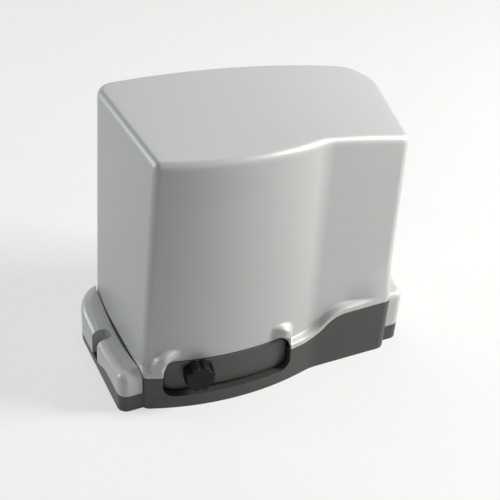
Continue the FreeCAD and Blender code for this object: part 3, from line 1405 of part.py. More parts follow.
# ---------------------------------------------------------------- transformer
ring_at = ("ring_x", "ring_y")
core_low = "base_floor + 2"
ring_points = [
    ("0", "ring_bore"), ("0", "ring_radius - 6"), ("6", "ring_radius"),
    ("ring_height - 8", "ring_radius"), ("ring_height - 2", "ring_radius - 6"), ("ring_height - 2", "ring_bore"),
]
node(turned("TransformerRing", ring_points, "Z", (*ring_at, core_low)), "transformer")
node(ring("TransformerPad", "ring_bore", "ring_radius - 3", "2", (*ring_at, "base_floor"), "Z"),
     "transformer_pad")
clamp_points = [("0", "ring_bolt"), ("3", "ring_bolt"), ("3", "22"), ("0", "22")]
node(turned("TransformerClamp", clamp_points, "Z", (*ring_at, "base_floor + ring_height")),
     "transformer_clamp")
bolt_top = "base_floor + ring_height + 3"
node(fuse("TransformerBolt", [
    cylinder("TransformerBoltShank", "ring_bolt", "ring_height - 6", (*ring_at, bolt_top + " - ring_height + 6")),
    cylinder("TransformerBoltHead", "2 * ring_bolt", "4", (*ring_at, bolt_top)),
]), "transformer_bolt")


# ---------------------------------------------------------------- circuit board on its carrier
board_right, board_top = "(board_left + board_width)", "(board_bottom + board_height)"
plate_front = "(board_y + board_thick + standoff)"
carrier = fuse("BoardCarrierStock", [
    box("CarrierPlate", ("board_left - 4", plate_front, "board_bottom - 4"),
        (board_right + " + 4", "board_back", board_top + " + 4")),
    box("CarrierLeg", ("output_x - shelf_half", plate_front, "worm_z + 12"),
        ("output_x + shelf_half", "board_back", "board_bottom")),
    box("CarrierLipLow", ("board_left - 4", plate_front + " - 4", "board_bottom - 4"),
        (board_right + " + 4", plate_front, "board_bottom - 2")),
    box("CarrierLipHigh", ("board_left - 4", plate_front + " - 4", board_top + " + 2"),
        (board_right + " + 4", plate_front, board_top + " + 4")),
])
node(carrier, "board_carrier")
node(box("CircuitBoard", ("board_left", "board_y", "board_bottom"),
         (board_right, "board_y + board_thick", board_top)), "circuit_board")
corners = [(x, z) for x in ("board_left + 6", board_right + " - 6")
           for z in ("board_bottom + 6", board_top + " - 6")]
node(group("BoardPosts", [
    cylinder("BoardPost%d" % i, "3.5", "standoff", (x, "board_y + board_thick", z), "Y")
    for i, (x, z) in enumerate(corners)]), "board_posts")
node(group("BoardScrews", [
    cylinder("BoardScrew%d" % i, "3", "2", (x, "board_y - 2", z), "Y")
    for i, (x, z) in enumerate(corners)] + [
    cylinder("CarrierScrew%d" % i, "3.5", "3", ("output_x + %d" % x, plate_front + " - 3", "worm_z + 18"), "Y")
    for i, x in enumerate((-8, 8))]), "board_screws")


def on_board(name, x, z, wide, deep, high):
    """A block on the front of the circuit board, placed from its lower left corner."""
    return box(name, ("board_left + %g" % x, "board_y - %g" % deep, "board_bottom + %g" % z),
               ("board_left + %g" % (x + wide), "board_y", "board_bottom + %g" % (z + high)))


node(group("TerminalBlocks", [
    on_board("TerminalBlock%d" % i, 14 + 30 * i, 3, 27, 11, 9) for i in range(5)]), "terminal_blocks")
node(group("Relays", [
    on_board("Relay%d" % i, 96 + 20 * i, 40, 16, 15, 20) for i in range(3)]), "relays")
node(group("Capacitors", [
    cylinder("Capacitor%d" % i, "7", "22", ("board_left + %d" % (24 + 17 * i), "board_y - 22",
                                            "board_bottom + 52"), "Y") for i in range(3)]), "capacitors")
node(on_board("FuseHolder", 70, 22, 24, 9, 9), "fuse_holder")
node(on_board("Controller", 34, 22, 18, 3, 18), "controller_chip")


# ---------------------------------------------------------------- limit switch
limit_body = fuse("LimitBody", [
    box("LimitBlock", ("output_x - limit_body_half", "case_rear", "limit_z - limit_body_half"),
        ("output_x + limit_body_half", "limit_body_end", "limit_z + limit_body_half")),
    cylinder("LimitBoss", "limit_boss_radius", "4", ("output_x", "limit_body_end", "limit_z"), "Y"),
    cylinder("LimitPin", "limit_pin_radius", "limit_hub_length + 4.6",
             ("output_x", "limit_body_end", "limit_z"), "Y"),
    cylinder("LimitPinHead", "limit_pin_radius + 2.5", "1.5",
             ("output_x", "limit_body_end + limit_hub_length + 4.6", "limit_z"), "Y"),
])
node(limit_body, "limit_switch_body")
hub_y = "limit_body_end + 4.3"
limit_hub = fuse("LimitHubStock", [
    cylinder("LimitHub", "8", "limit_hub_length", ("output_x", hub_y, "limit_z"), "Y"),
    cylinder("LimitSocket", "4", "8", ("output_x", hub_y + " + limit_hub_length / 2", "limit_z + 6")),
    cylinder("LimitRod", "limit_rod_radius", "limit_rod_length",
             ("output_x", hub_y + " + limit_hub_length / 2", "limit_z + 6")),
])
limit_bore = cylinder("LimitHubBore", "limit_pin_radius + fit_running", "limit_hub_length",
                      ("output_x", hub_y, "limit_z"), "Y")
node(cut("LimitLever", limit_hub, [limit_bore]), "limit_lever")
coil_rings = 4
coil_points = [("0", "limit_rod_radius")]
for i in range(coil_rings):
    coil_points += [("%g" % (6 * i + 0.5), "4"), ("%g" % (6 * i + 3), "5.5"), ("%g" % (6 * i + 5.5), "4")]
coil_points.append(("%g" % (6 * coil_rings), "limit_rod_radius"))
node(turned("LimitSpring", coil_points, "Z",
            ("output_x", hub_y + " + limit_hub_length / 2", "limit_z + 14")), "limit_spring")

# ---------------------------------------------------------------- checks and files
doc.recompute()
for obj in doc.Objects:
    if "Invalid" in obj.State or "Error" in obj.State:
        raise RuntimeError("%s can't be computed: %s" % (obj.Name, obj.State))
os.makedirs("parts", exist_ok=True)
for obj in NODES:
    if obj.Shape.isNull() or not obj.Shape.isValid():
        raise RuntimeError("%s has no valid shape" % obj.Label)
    obj.Shape.exportStep("parts/%s.step" % obj.Label)
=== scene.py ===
"""Looks of the sliding gate motor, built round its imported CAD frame.  Metres, the frame's own axes."""
from __future__ import annotations

import json
import logging
import math
from dataclasses import dataclass, field
from enum import Enum

import bpy
import numpy as np
from mathutils import Matrix, Vector

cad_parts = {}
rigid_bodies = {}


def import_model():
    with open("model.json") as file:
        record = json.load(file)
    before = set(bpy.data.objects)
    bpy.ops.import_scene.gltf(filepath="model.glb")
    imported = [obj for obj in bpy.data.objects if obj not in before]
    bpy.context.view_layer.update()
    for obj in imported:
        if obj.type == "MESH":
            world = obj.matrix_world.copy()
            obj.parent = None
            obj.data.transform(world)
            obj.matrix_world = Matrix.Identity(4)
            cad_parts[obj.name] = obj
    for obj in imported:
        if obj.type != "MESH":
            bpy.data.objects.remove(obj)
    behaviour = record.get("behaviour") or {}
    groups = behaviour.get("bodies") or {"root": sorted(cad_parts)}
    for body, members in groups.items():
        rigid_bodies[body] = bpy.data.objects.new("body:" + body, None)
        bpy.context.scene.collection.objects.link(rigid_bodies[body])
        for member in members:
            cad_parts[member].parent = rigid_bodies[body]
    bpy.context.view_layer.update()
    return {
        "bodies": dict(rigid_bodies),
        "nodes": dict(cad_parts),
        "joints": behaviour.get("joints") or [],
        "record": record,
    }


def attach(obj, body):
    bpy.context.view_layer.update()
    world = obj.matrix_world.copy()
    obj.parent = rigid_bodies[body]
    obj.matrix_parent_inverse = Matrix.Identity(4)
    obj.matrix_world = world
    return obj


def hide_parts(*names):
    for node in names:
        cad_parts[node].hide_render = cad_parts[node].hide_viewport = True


LOG = logging.getLogger("gate_motor")
MM = 0.001
BUMP_DEPTH = 0.0004
GLOSS_SWING = 0.05
COAT_ROUGHNESS = 0.25
BRUSH_STRETCH = 0.04


# ---------------------------------------------------------------- finishes
class Grain(Enum):
    """How a finish's fine pattern runs: its scale along each axis."""

    EVEN = (1.0, 1.0, 1.0)
    BRUSHED_X = (BRUSH_STRETCH, 1.0, 1.0)
    BRUSHED_Z = (1.0, 1.0, BRUSH_STRETCH)


def linear(level: float) -> float:
    """Turns a written colour level into a linear one.

    Args:
        level: Level between 0 and 1, as colours are written.

    Returns:
        The linear level that a shader needs.
    """
    return level / 12.92 if level <= 0.04045 else ((level + 0.055) / 1.055) ** 2.4


@dataclass(frozen=True)
class Finish:
    """A surface: colour, gloss, and the size and depth of its fine pattern."""

    name: str
    colour: tuple[float, float, float]
    roughness: float = 0.45
    metallic: float = 0.0
    mottle: float = 0.04
    mottle_scale: float = 9.0
    pits: float = 0.04
    pit_scale: float = 900.0
    edge: float = 0.0
    coat: float = 0.0
    specular: float = 0.5
    grain: Grain = Grain.EVEN

    def build(self) -> bpy.types.Material:
        """Builds the node material.

        Cloudy noise shifts the colour and the gloss a little, and fine noise raises the surface.  A
        finish with an edge also has its sharp edges softened by that radius in the shading.

        Returns:
            The new material.
        """
        material = bpy.data.materials.new(self.name)
        material.use_nodes = True
        tree = material.node_tree
        shader = tree.nodes["Principled BSDF"]
        shader.inputs["Metallic"].default_value = self.metallic
        shader.inputs["Coat Weight"].default_value = self.coat
        shader.inputs["Specular IOR Level"].default_value = self.specular
        shader.inputs["Coat Roughness"].default_value = COAT_ROUGHNESS
        place = tree.nodes.new("ShaderNodeTexCoord").outputs["Object"]
        stretch = tree.nodes.new("ShaderNodeMapping")
        stretch.inputs["Scale"].default_value = self.grain.value
        tree.links.new(place, stretch.inputs["Vector"])
        cloud = self._noise(tree, place, self.mottle_scale, 4.0)
        fine = self._noise(tree, stretch.outputs["Vector"], self.pit_scale, 2.0)
        base = [linear(level) for level in self.colour]
        blend = tree.nodes.new("ShaderNodeMix")
        blend.data_type = "RGBA"
        blend.inputs[6].default_value = (*[level * (1 - self.mottle) for level in base], 1)
        blend.inputs[7].default_value = (*[min(1.0, level * (1 + self.mottle)) for level in base], 1)
        tree.links.new(cloud, blend.inputs[0])
        tree.links.new(blend.outputs[2], shader.inputs["Base Color"])
        gloss = tree.nodes.new("ShaderNodeMapRange")
        gloss.inputs["To Min"].default_value = self.roughness - GLOSS_SWING
        gloss.inputs["To Max"].default_value = self.roughness + GLOSS_SWING
        tree.links.new(cloud, gloss.inputs["Value"])
        tree.links.new(gloss.outputs["Result"], shader.inputs["Roughness"])
        bump = tree.nodes.new("ShaderNodeBump")
        bump.inputs["Strength"].default_value = self.pits
        bump.inputs["Distance"].default_value = BUMP_DEPTH
        tree.links.new(fine, bump.inputs["Height"])
        if self.edge:
            soft = tree.nodes.new("ShaderNodeBevel")
            soft.samples = 4
            soft.inputs["Radius"].default_value = self.edge
            tree.links.new(soft.outputs["Normal"], bump.inputs["Normal"])
        tree.links.new(bump.outputs["Normal"], shader.inputs["Normal"])
        return material

    @staticmethod
    def _noise(tree: bpy.types.NodeTree, vector: bpy.types.NodeSocket, scale: float,
               detail: float) -> bpy.types.NodeSocket:
        """Adds a noise texture.

        Args:
            tree: Material's node tree.
            vector: Place that the noise is read at.
            scale: Number of lumps for each metre.
            detail: Octaves of finer noise.

        Returns:
            The noise's level, between 0 and 1.
        """
        noise = tree.nodes.new("ShaderNodeTexNoise")
        noise.inputs["Scale"].default_value = scale
        noise.inputs["Detail"].default_value = detail
        tree.links.new(vector, noise.inputs["Vector"])
        return noise.outputs["Fac"]


HOOD_PAINT = Finish("silver_paint", (0.79, 0.80, 0.795), 0.42, 0.15, mottle=0.02, pits=0.10, pit_scale=1500,
                    edge=0.0008, coat=0.25)
CAST_PAINT = Finish("cast_paint", (0.265, 0.258, 0.248), 0.5, mottle=0.06, mottle_scale=30, pits=0.3,
                    pit_scale=1200, edge=0.0014, coat=0.1)
LEVER_PLASTIC = Finish("lever_plastic", (0.30, 0.30, 0.295), 0.40, mottle=0.05, pits=0.15, edge=0.0006)
KNOB_PLASTIC = Finish("knob_plastic", (0.05, 0.05, 0.052), 0.5, mottle=0.08, pits=0.15, edge=0.0006,
                      specular=0.2)
BLACK_PLASTIC = Finish("black_plastic", (0.10, 0.10, 0.105), 0.45, mottle=0.08, edge=0.0004)
RUBBER = Finish("rubber", (0.07, 0.07, 0.07), 0.75, mottle=0.1, pits=0.2)
STEEL = Finish("ground_steel", (0.66, 0.66, 0.67), 0.28, 1.0, mottle=0.05, pits=0.12, edge=0.0004,
               grain=Grain.BRUSHED_X)
ZINC = Finish("zinc_plate", (0.76, 0.75, 0.71), 0.25, 1.0, mottle=0.08, mottle_scale=60, pits=0.08,
              edge=0.0003)
CAST_ALU = Finish("cast_aluminium", (0.68, 0.68, 0.67), 0.5, 0.9, mottle=0.08, mottle_scale=40, pits=0.5,
                  pit_scale=1000, edge=0.0006)
BRONZE = Finish("bronze", (0.74, 0.56, 0.32), 0.3, 1.0, mottle=0.08, mottle_scale=40)
COPPER = Finish("copper_wire", (0.74, 0.42, 0.22), 0.35, 1.0, mottle=0.12, mottle_scale=200, pits=0.4,
                grain=Grain.BRUSHED_X)
CAN_PAINT = Finish("can_paint", (0.13, 0.13, 0.14), 0.4, mottle=0.08, coat=0.2)
FERRITE = Finish("ferrite", (0.22, 0.22, 0.23), 0.6, 0.3, mottle=0.1, mottle_scale=80)
LAMINATE = Finish("laminate", (0.07, 0.33, 0.16), 0.35, mottle=0.12, mottle_scale=220, coat=0.3)
WHITE_PLASTIC = Finish("white_plastic", (0.86, 0.86, 0.84), 0.45, mottle=0.02)
GREEN_PLASTIC = Finish("green_plastic", (0.16, 0.46, 0.22), 0.4, mottle=0.04)
TAPE = Finish("wound_tape", (0.76, 0.64, 0.24), 0.3, mottle=0.1, mottle_scale=120, pits=0.3,
              grain=Grain.BRUSHED_Z)


class Finishes:
    """Each finish's material, built once."""

    def __init__(self) -> None:
        """Starts with no material."""
        self._built: dict[str, bpy.types.Material] = {}

    def material(self, finish: Finish) -> bpy.types.Material:
        """Material of a finish.

        Args:
            finish: The finish.

        Returns:
            Its material, built on the first call.
        """
        if finish.name not in self._built:
            self._built[finish.name] = finish.build()
        return self._built[finish.name]


# ---------------------------------------------------------------- surfaces
def grid_mesh(name: str, points: np.ndarray, round_u: bool, pole: bool) -> bpy.types.Object:
    """Makes a mesh from a surface's grid of points.

    The face between rows i and i+1 and columns j and j+1 joins their four points; with round_u the
    last column joins the first, and with pole a fan joins the last row to its mean point.

    Args:
        name: Name of the new object.
        points: Array of shape (rows, columns, 3).
        round_u: Whether each row is a closed loop.
        pole: Whether the last row is closed by a fan.

    Returns:
        The new object, in the scene.
    """
    rows, columns, _ = points.shape
    index = np.arange(rows * columns).reshape(rows, columns)
    after = np.roll(index, -1, axis=1) if round_u else index[:, 1:]
    before = index if round_u else index[:, :-1]
    quads = np.stack([before[:-1], after[:-1], after[1:], before[1:]], axis=-1).reshape(-1, 4)
    vertices = points.reshape(-1, 3)
    faces = quads.tolist()
    if pole:
        vertices = np.vstack([vertices, points[-1].mean(axis=0)])
        tip = np.full(columns, rows * columns)
        faces += np.stack([index[-1], np.roll(index[-1], -1), tip], axis=-1).tolist()
    mesh = bpy.data.meshes.new(name)
    mesh.from_pydata(vertices.tolist(), [], faces)
    mesh.shade_smooth()
    mesh.update()
    obj = bpy.data.objects.new(name, mesh)
    bpy.context.scene.collection.objects.link(obj)
    return obj


def ease(low: float | np.ndarray, high: float | np.ndarray, value: np.ndarray) -> np.ndarray:
    """Smooth step: 0 below low, 1 above high, with a level start and end between them.

    Args:
        low: Value where the step starts.
        high: Value where it ends.
        value: Where it is read.

    Returns:
        The step's level at each value.
    """
    t = np.clip((value - low) / (high - low), 0.0, 1.0)
    return t * t * (3.0 - 2.0 * t)


@dataclass(frozen=True)
class PlanOutline:
    """Plan of the hood at one height: straight sides, round corners, and a bowed front that runs through
    a hollow into a flat stretch.  Millimetres."""

    left_front: float
    left_rear: float
    rear: float
    front_left: float
    flat: float
    right_shift: float
    slant: float = 0.25
    right_front: float = 142.5
    flat_datum: float = 83.0
    bow_end: float = 47.0
    bow_rise: float = 15.5
    blend: float = 60.0
    corners: tuple[float, float, float, float] = (17.0, 9.0, 12.0, 36.0)
    corner_points: tuple[int, int, int, int] = (13, 11, 13, 19)
    bow_points: int = 260
    hollow_points: int = 28
    side_points: int = 40
    flat_points: int = 50
    rear_points: int = 70

    def right_x(self, y: float) -> float:
        """X of the slanted right side at Y."""
        return self.right_front + self.right_shift + self.slant * (y + self.flat_datum)

    def bow_circle(self) -> tuple[np.ndarray, float]:
        """Circle of the bowed front, through both its ends and the top of its rise.

        Returns:
            Its centre and radius.
        """
        start = np.array([self.left_front, self.front_left])
        end = np.array([self.bow_end, self.flat])
        chord = end - start
        length = np.hypot(*chord)
        radius = (length ** 2 / 4 + self.bow_rise ** 2) / (2 * self.bow_rise)
        outwards = np.array([chord[1], -chord[0]]) / length
        return (start + end) / 2 - outwards * (radius - self.bow_rise), radius

    def points(self) -> np.ndarray:
        """Points once round the outline, from the rear left corner down the left side.

        Each corner is an arc that is tangent to its two sides; the front left one touches the left side
        and the bow's circle, and the hollow arc touches the bow's circle and the flat stretch.

        Returns:
            Array of shape (count, 2).
        """
        r_rl, r_fl, r_fr, r_rr = self.corners
        n_rl, n_fl, n_fr, n_rr = self.corner_points
        centre, bow = self.bow_circle()
        rear_left = np.array([self.left_rear, self.rear])
        front_left = np.array([self.left_front, self.front_left])
        front_right = np.array([self.right_x(self.flat), self.flat])
        rear_right = np.array([self.right_x(self.rear), self.rear])
        left_way = (front_left - rear_left) / np.hypot(*(front_left - rear_left))
        # front left corner: its centre lies r from the left side and bow - r from the bow's centre
        inwards = np.array([-left_way[1], left_way[0]])
        start = rear_left + inwards * r_fl
        to_centre = start - centre
        b = float(to_centre @ left_way)
        c = float(to_centre @ to_centre) - (bow - r_fl) ** 2
        corner = start + left_way * (-b + math.sqrt(b * b - c))
        on_side = corner - inwards * r_fl
        on_bow = centre + (corner - centre) * bow / (bow - r_fl)
        # hollow between bow and flat: its centre lies blend from the flat and bow + blend from the bow's
        hollow_y = self.flat - self.blend
        hollow_x = centre[0] + math.sqrt((bow + self.blend) ** 2 - (hollow_y - centre[1]) ** 2)
        hollow = np.array([hollow_x, hollow_y])
        on_flat = np.array([hollow_x, self.flat])
        bow_to = centre + (hollow - centre) * bow / (bow + self.blend)
        front = np.vstack([
            self._arc(corner, on_side, on_bow, n_fl),
            self._arc(centre, on_bow, bow_to, self.bow_points)[1:],
            self._arc(hollow, bow_to, on_flat, self.hollow_points)[1:]])
        # each curve, and the number of points on the straight stretch that follows it
        curves = [
            (self._corner(rear_right, rear_left, front_left, r_rl, n_rl), self.side_points),
            (front, self.flat_points),
            (self._corner(on_flat, front_right, rear_right, r_fr, n_fr), self.side_points),
            (self._corner(front_right, rear_right, rear_left, r_rr, n_rr), self.rear_points),
        ]
        parts = []
        for (curve, count), (following, _) in zip(curves, curves[1:] + curves[:1]):
            steps = np.linspace(0, 1, count + 2)[1:-1, None]
            parts += [curve, curve[-1] + (following[0] - curve[-1]) * steps]
        return np.vstack(parts)

    @staticmethod
    def _arc(centre: np.ndarray, start: np.ndarray, end: np.ndarray, count: int) -> np.ndarray:
        """Arc round a centre, the short way, evenly spaced in angle.

        Args:
            centre: The arc's centre.
            start: First point.
            end: Last point.
            count: Number of points.

        Returns:
            The points.
        """
        first = math.atan2(*(start - centre)[::-1])
        last = math.atan2(*(end - centre)[::-1])
        turn = (last - first + math.pi) % (2 * math.pi) - math.pi
        angle = first + turn * np.linspace(0, 1, count)
        radius = np.hypot(*(start - centre))
        return centre + radius * np.stack([np.cos(angle), np.sin(angle)], axis=1)

    @classmethod
    def _corner(cls, before: np.ndarray, corner: np.ndarray, after: np.ndarray, radius: float,
                count: int) -> np.ndarray:
        """Round corner between two straight sides.

        The arc's centre lies on the corner's bisector, radius / sin(half the corner's angle) away.

        Args:
            before: A point on the side that comes in.
            corner: The sharp corner.
            after: A point on the side that goes out.
            radius: The arc's radius.
            count: Number of points.

        Returns:
            The arc's points.
        """
        back = (before - corner) / np.hypot(*(before - corner))
        on = (after - corner) / np.hypot(*(after - corner))
        half = math.acos(float(np.clip(back @ on, -1, 1))) / 2
        middle = (back + on) / np.hypot(*(back + on))
        centre = corner + middle * radius / math.sin(half)
        reach = radius / math.tan(half)
        return cls._arc(centre, corner + back * reach, corner + on * reach, count)


@dataclass(frozen=True)
class Arch:
    """Bead round one upper corner of the lever's window.  Millimetres.

    Its width grows from a least one by a gain, between two heights, and it fades towards the window's
    middle between two distances from the window's end.
    """

    least: float
    gain: float
    heights: tuple[float, float]
    fade: tuple[float, float]

    def width(self, z: np.ndarray) -> np.ndarray:
        """Width of the bead at given heights."""
        return self.least + self.gain * ease(*self.heights, z)

    def share(self, from_end: np.ndarray) -> np.ndarray:
        """What is left of the bead at given distances from the window's end."""
        return 1 - ease(*self.fade, from_end)


@dataclass
class Hood:
    """The silver hood: tapered walls, an arched top, and a flared lip with arches round the lever.

    Lengths in millimetres.  Each pair of soft lengths says how far before and after its place a step
    starts and ends.  fine_climb and coarse_climb hold how high above the seam rows reach, and their
    spacing; row_rise keeps rows apart where the rim stands above them.  inner_off and inner_in bound
    the strip over the window's level edge that stays flush.
    """

    wall: float = 2.6
    low: float = 20.0
    high: float = 320.0
    seam_low: float = 40.5
    seam_high: float = 65.0
    rise_start: float = 34.0
    rise_end: float = 88.0
    seam_gap: float = 0.75
    crown_x: float = -95.0
    crown_top: float = 296.5
    crown_radius: float = 1180.0
    fall: float = 3.8
    edge: float = 9.0
    edge_in: float = 7.0
    rear: float = 84.5
    lip_height: float = 9.0
    lip_soft: tuple[float, float] = (3.6, 0.6)
    lean: tuple[float, float] = (-10.0, 50.0)
    lean_soft: tuple[float, float] = (6.0, 42.0)
    lip_end: float = 52.0
    lip_end_soft: tuple[float, float] = (5.0, 12.0)
    left_arch: Arch = Arch(9.5, 5.0, (46.0, 66.0), (2.0, 20.0))
    right_arch: Arch = Arch(3.0, 15.0, (46.0, 76.0), (6.0, 24.0))
    arch_soft: tuple[float, float] = (3.0, 1.2)
    inner_off: float = 5.0
    inner_in: float = 9.0
    window: tuple[float, float, float, float] = (-122.2, 18.2, 15.5, 56.9)
    window_corner: float = 13.2
    nose: tuple[float, float, float] = (10.06, 80.0, 31.7)
    fine_climb: tuple[float, float] = (20.0, 0.8)
    coarse_climb: tuple[float, float] = (45.0, 1.3)
    row_rise: float = 0.02
    shoulder_level: float = 290.0
    wall_rows: int = 13
    edge_rows: int = 9
    crown_rows: int = 15
    bottom: PlanOutline = PlanOutline(-141.3, -141.3, 84.5, -68.0, -76.0, 0.0)
    lip: PlanOutline = PlanOutline(-141.3, -141.3, 84.5, -75.0, -83.0, 0.0)
    top: PlanOutline = PlanOutline(-124.3, -135.8, 79.0, -68.0, -67.5, -3.6)

    def seam(self, x: np.ndarray) -> np.ndarray:
        """Height of the seam: two levels joined by an S of two equal arcs.

        Args:
            x: Places along the gate.

        Returns:
            The seam's height at each.
        """
        run, rise = self.rise_end - self.rise_start, self.seam_high - self.seam_low
        radius = (run ** 2 + rise ** 2) / (4 * rise)
        u = np.clip(x - self.rise_start, 0, run)
        first = radius - np.sqrt(radius ** 2 - np.minimum(u, run / 2) ** 2)
        second = rise - radius + np.sqrt(radius ** 2 - np.minimum(run - u, run / 2) ** 2)
        return self.seam_low + np.where(u < run / 2, first, second)

    def window_distance(self, x: np.ndarray, z: np.ndarray) -> np.ndarray:
        """How far a place lies outside the lever's window, a rectangle with round corners.

        Args:
            x: Places along the gate.
            z: Their heights.

        Returns:
            Distances, below 0 inside the window.
        """
        left, right, low, high = self.window
        out_x = np.abs(x - (left + right) / 2) - (right - left) / 2 + self.window_corner
        out_z = np.abs(z - (low + high) / 2) - (high - low) / 2 + self.window_corner
        outside = np.hypot(np.maximum(out_x, 0), np.maximum(out_z, 0))
        return outside + np.minimum(np.maximum(out_x, out_z), 0) - self.window_corner

    def rim(self, plan: np.ndarray) -> np.ndarray:
        """Height of the hood's lower edge: the seam, raised over the lever's window and the shaft's nose.

        Args:
            plan: Points of the outline.

        Returns:
            The edge's height at each.
        """
        x, y = plan[:, 0], plan[:, 1]
        edge = self.seam(x) + self.seam_gap
        left, right, _, high = self.window
        corner = self.window_corner
        inner = np.clip(np.maximum(left + corner - x, x - right + corner), 0, corner)
        over = high - corner + np.sqrt(corner ** 2 - inner ** 2)
        inside = (x > left) & (x < right) & (y < 0)
        edge = np.where(inside, np.maximum(edge, over), edge)
        nose_x, nose_z, nose_r = self.nose
        across = np.clip(np.abs(x - nose_x), 0, nose_r)
        arch = nose_z + np.sqrt(nose_r ** 2 - across ** 2)
        return np.where((np.abs(x - nose_x) < nose_r) & (y > 0), arch, edge)

    def crown(self, x: np.ndarray, y: np.ndarray) -> np.ndarray:
        """Height of the arched top, a parabola across the gate that falls evenly towards the front."""
        return (self.crown_top - (x - self.crown_x) ** 2 / (2 * self.crown_radius)
                - math.tan(math.radians(self.fall)) * (self.rear - y))

    def flare(self, x: np.ndarray, y: np.ndarray, z: np.ndarray, above: np.ndarray) -> np.ndarray:
        """How far the lip reaches from the hood's face to the tub's, from 0 to 1.

        It is the larger of a band along the seam and the arches round the lever's upper corners, and
        it fades along the sides.  The band is crisp, and past the seam's S it turns into a long lean.

        Args:
            x: Places along the gate.
            y: Places across it.
            z: Heights.
            above: Heights above the seam.

        Returns:
            The share of the lip's reach.
        """
        before, after = self.lip_soft
        crisp = 1 - ease(self.lip_height - before, self.lip_height + after, above)
        lean = 1 - ease(*self.lean, above)
        before, after = self.lean_soft
        band = crisp + (lean - crisp) * ease(self.rise_end - before, self.rise_end + after, x)
        left, right, _, _ = self.window
        band = np.where((x > left) & (x < right), 0.0, band)
        before, after = self.lip_end_soft
        front = 1 - ease(-self.lip_end - before, -self.lip_end + after, y)
        return np.maximum(band, self.arches(x, z)) * front

    def arches(self, x: np.ndarray, z: np.ndarray) -> np.ndarray:
        """Share of the lip's reach in the arches round the lever's window.

        A place's share is 1 up to the bead's width from the window and then falls to 0.  It fades
        towards the window's middle, and is taken away close over the window's level upper edge.

        Args:
            x: Places along the gate.
            z: Their heights.

        Returns:
            The share at each.
        """
        off = self.window_distance(x, z)
        left, right, _, _ = self.window
        on_right = x > (left + right) / 2
        from_end = np.where(on_right, right - x, x - left)
        width = np.where(on_right, self.right_arch.width(z), self.left_arch.width(z))
        kept = np.where(on_right, self.right_arch.share(from_end), self.left_arch.share(from_end))
        before, after = self.arch_soft
        bead = (1 - ease(width - before, width + after, off)) * kept
        return bead * (1 - (1 - ease(0.0, self.inner_off, off)) * ease(0.0, self.inner_in, from_end))

    def build(self) -> bpy.types.Object:
        """Builds the hood as one surface and gives it a wall.

        Rows climb from the lower edge: the plan at each height is the straight blend of the lower and
        upper plans, moved towards the lip's plan by the flare's share.  At the top the rows turn over
        the edge's quarter circle and then shrink across the crown to a pole.

        Returns:
            The hood's object.
        """
        low, lip, top = (outline.points() for outline in (self.bottom, self.lip, self.top))
        rim = self.rim(low)
        (fine_top, fine_step), (coarse_top, coarse_step) = self.fine_climb, self.coarse_climb
        climb = np.concatenate([np.arange(0, fine_top, fine_step),
                                np.arange(fine_top, coarse_top, coarse_step)])
        seam = self.seam(low[:, 0]) + self.seam_gap
        level = np.full(len(low), self.shoulder_level)
        shoulder = self.crown(*self._plan(low, top, level).T) - self.edge
        rows = [seam + rise for rise in climb]
        last = rows[-1]
        rows += [last + (shoulder - last) * share for share in np.linspace(0, 1, self.wall_rows)[1:]]
        sheet = []
        for i, z in enumerate(rows):
            z = np.maximum(z, rim + self.row_rise * i)
            plan = self._plan(low, top, z)
            share = self.flare(plan[:, 0], plan[:, 1], z, z - seam)
            plan = plan + (lip - plan) * share[:, None]
            sheet.append(np.column_stack([plan, z]))
        base = sheet[-1][:, :2]
        tangent = np.roll(base, -1, axis=0) - np.roll(base, 1, axis=0)
        inwards = np.stack([-tangent[:, 1], tangent[:, 0]], axis=1)
        inwards /= np.hypot(inwards[:, 0], inwards[:, 1])[:, None]
        for angle in np.linspace(0, math.pi / 2, self.edge_rows)[1:]:
            plan = base + inwards * self.edge_in * (1 - math.cos(angle))
            z = self.crown(plan[:, 0], plan[:, 1]) - self.edge * (1 - math.sin(angle))
            sheet.append(np.column_stack([plan, z]))
        inner = sheet[-1][:, :2]
        middle = inner.mean(axis=0)
        for share in np.linspace(1, 0, self.crown_rows)[1:-1]:
            plan = middle + (inner - middle) * share
            sheet.append(np.column_stack([plan, self.crown(plan[:, 0], plan[:, 1])]))
        hood = grid_mesh("hood_shell", np.array(sheet) * MM, round_u=True, pole=True)
        wall = hood.modifiers.new("wall", "SOLIDIFY")
        wall.thickness = self.wall * MM
        wall.offset = -1
        wall.use_even_offset = False
        return hood

    def _plan(self, low: np.ndarray, top: np.ndarray, z: np.ndarray) -> np.ndarray:
        """Plan at given heights: the straight blend of two outlines.

        Args:
            low: Outline at the lower level.
            top: Outline at the upper level.
            z: Height of each point.

        Returns:
            The blended points.
        """
        share = ((z - self.low) / (self.high - self.low))[:, None]
        return low + (top - low) * share


# ---------------------------------------------------------------- studio
@dataclass(frozen=True)
class Lamp:
    """Square lamp that points at the middle of the motor: its place, side, watts and colour."""

    name: str
    place: tuple[float, float, float]
    size: float
    power: float
    tint: tuple[float, float, float]
    target: tuple[float, float, float] = (0.0, 0.0, 0.13)

    def build(self) -> None:
        """Builds the lamp and turns it to its target."""
        light = bpy.data.lights.new(self.name, "AREA")
        light.size = self.size
        light.energy = self.power
        light.color = self.tint
        lamp = bpy.data.objects.new(self.name, light)
        lamp.location = self.place
        lamp.rotation_euler = (Vector(self.target) - Vector(self.place)).to_track_quat("-Z", "Y").to_euler()
        bpy.context.scene.collection.objects.link(lamp)


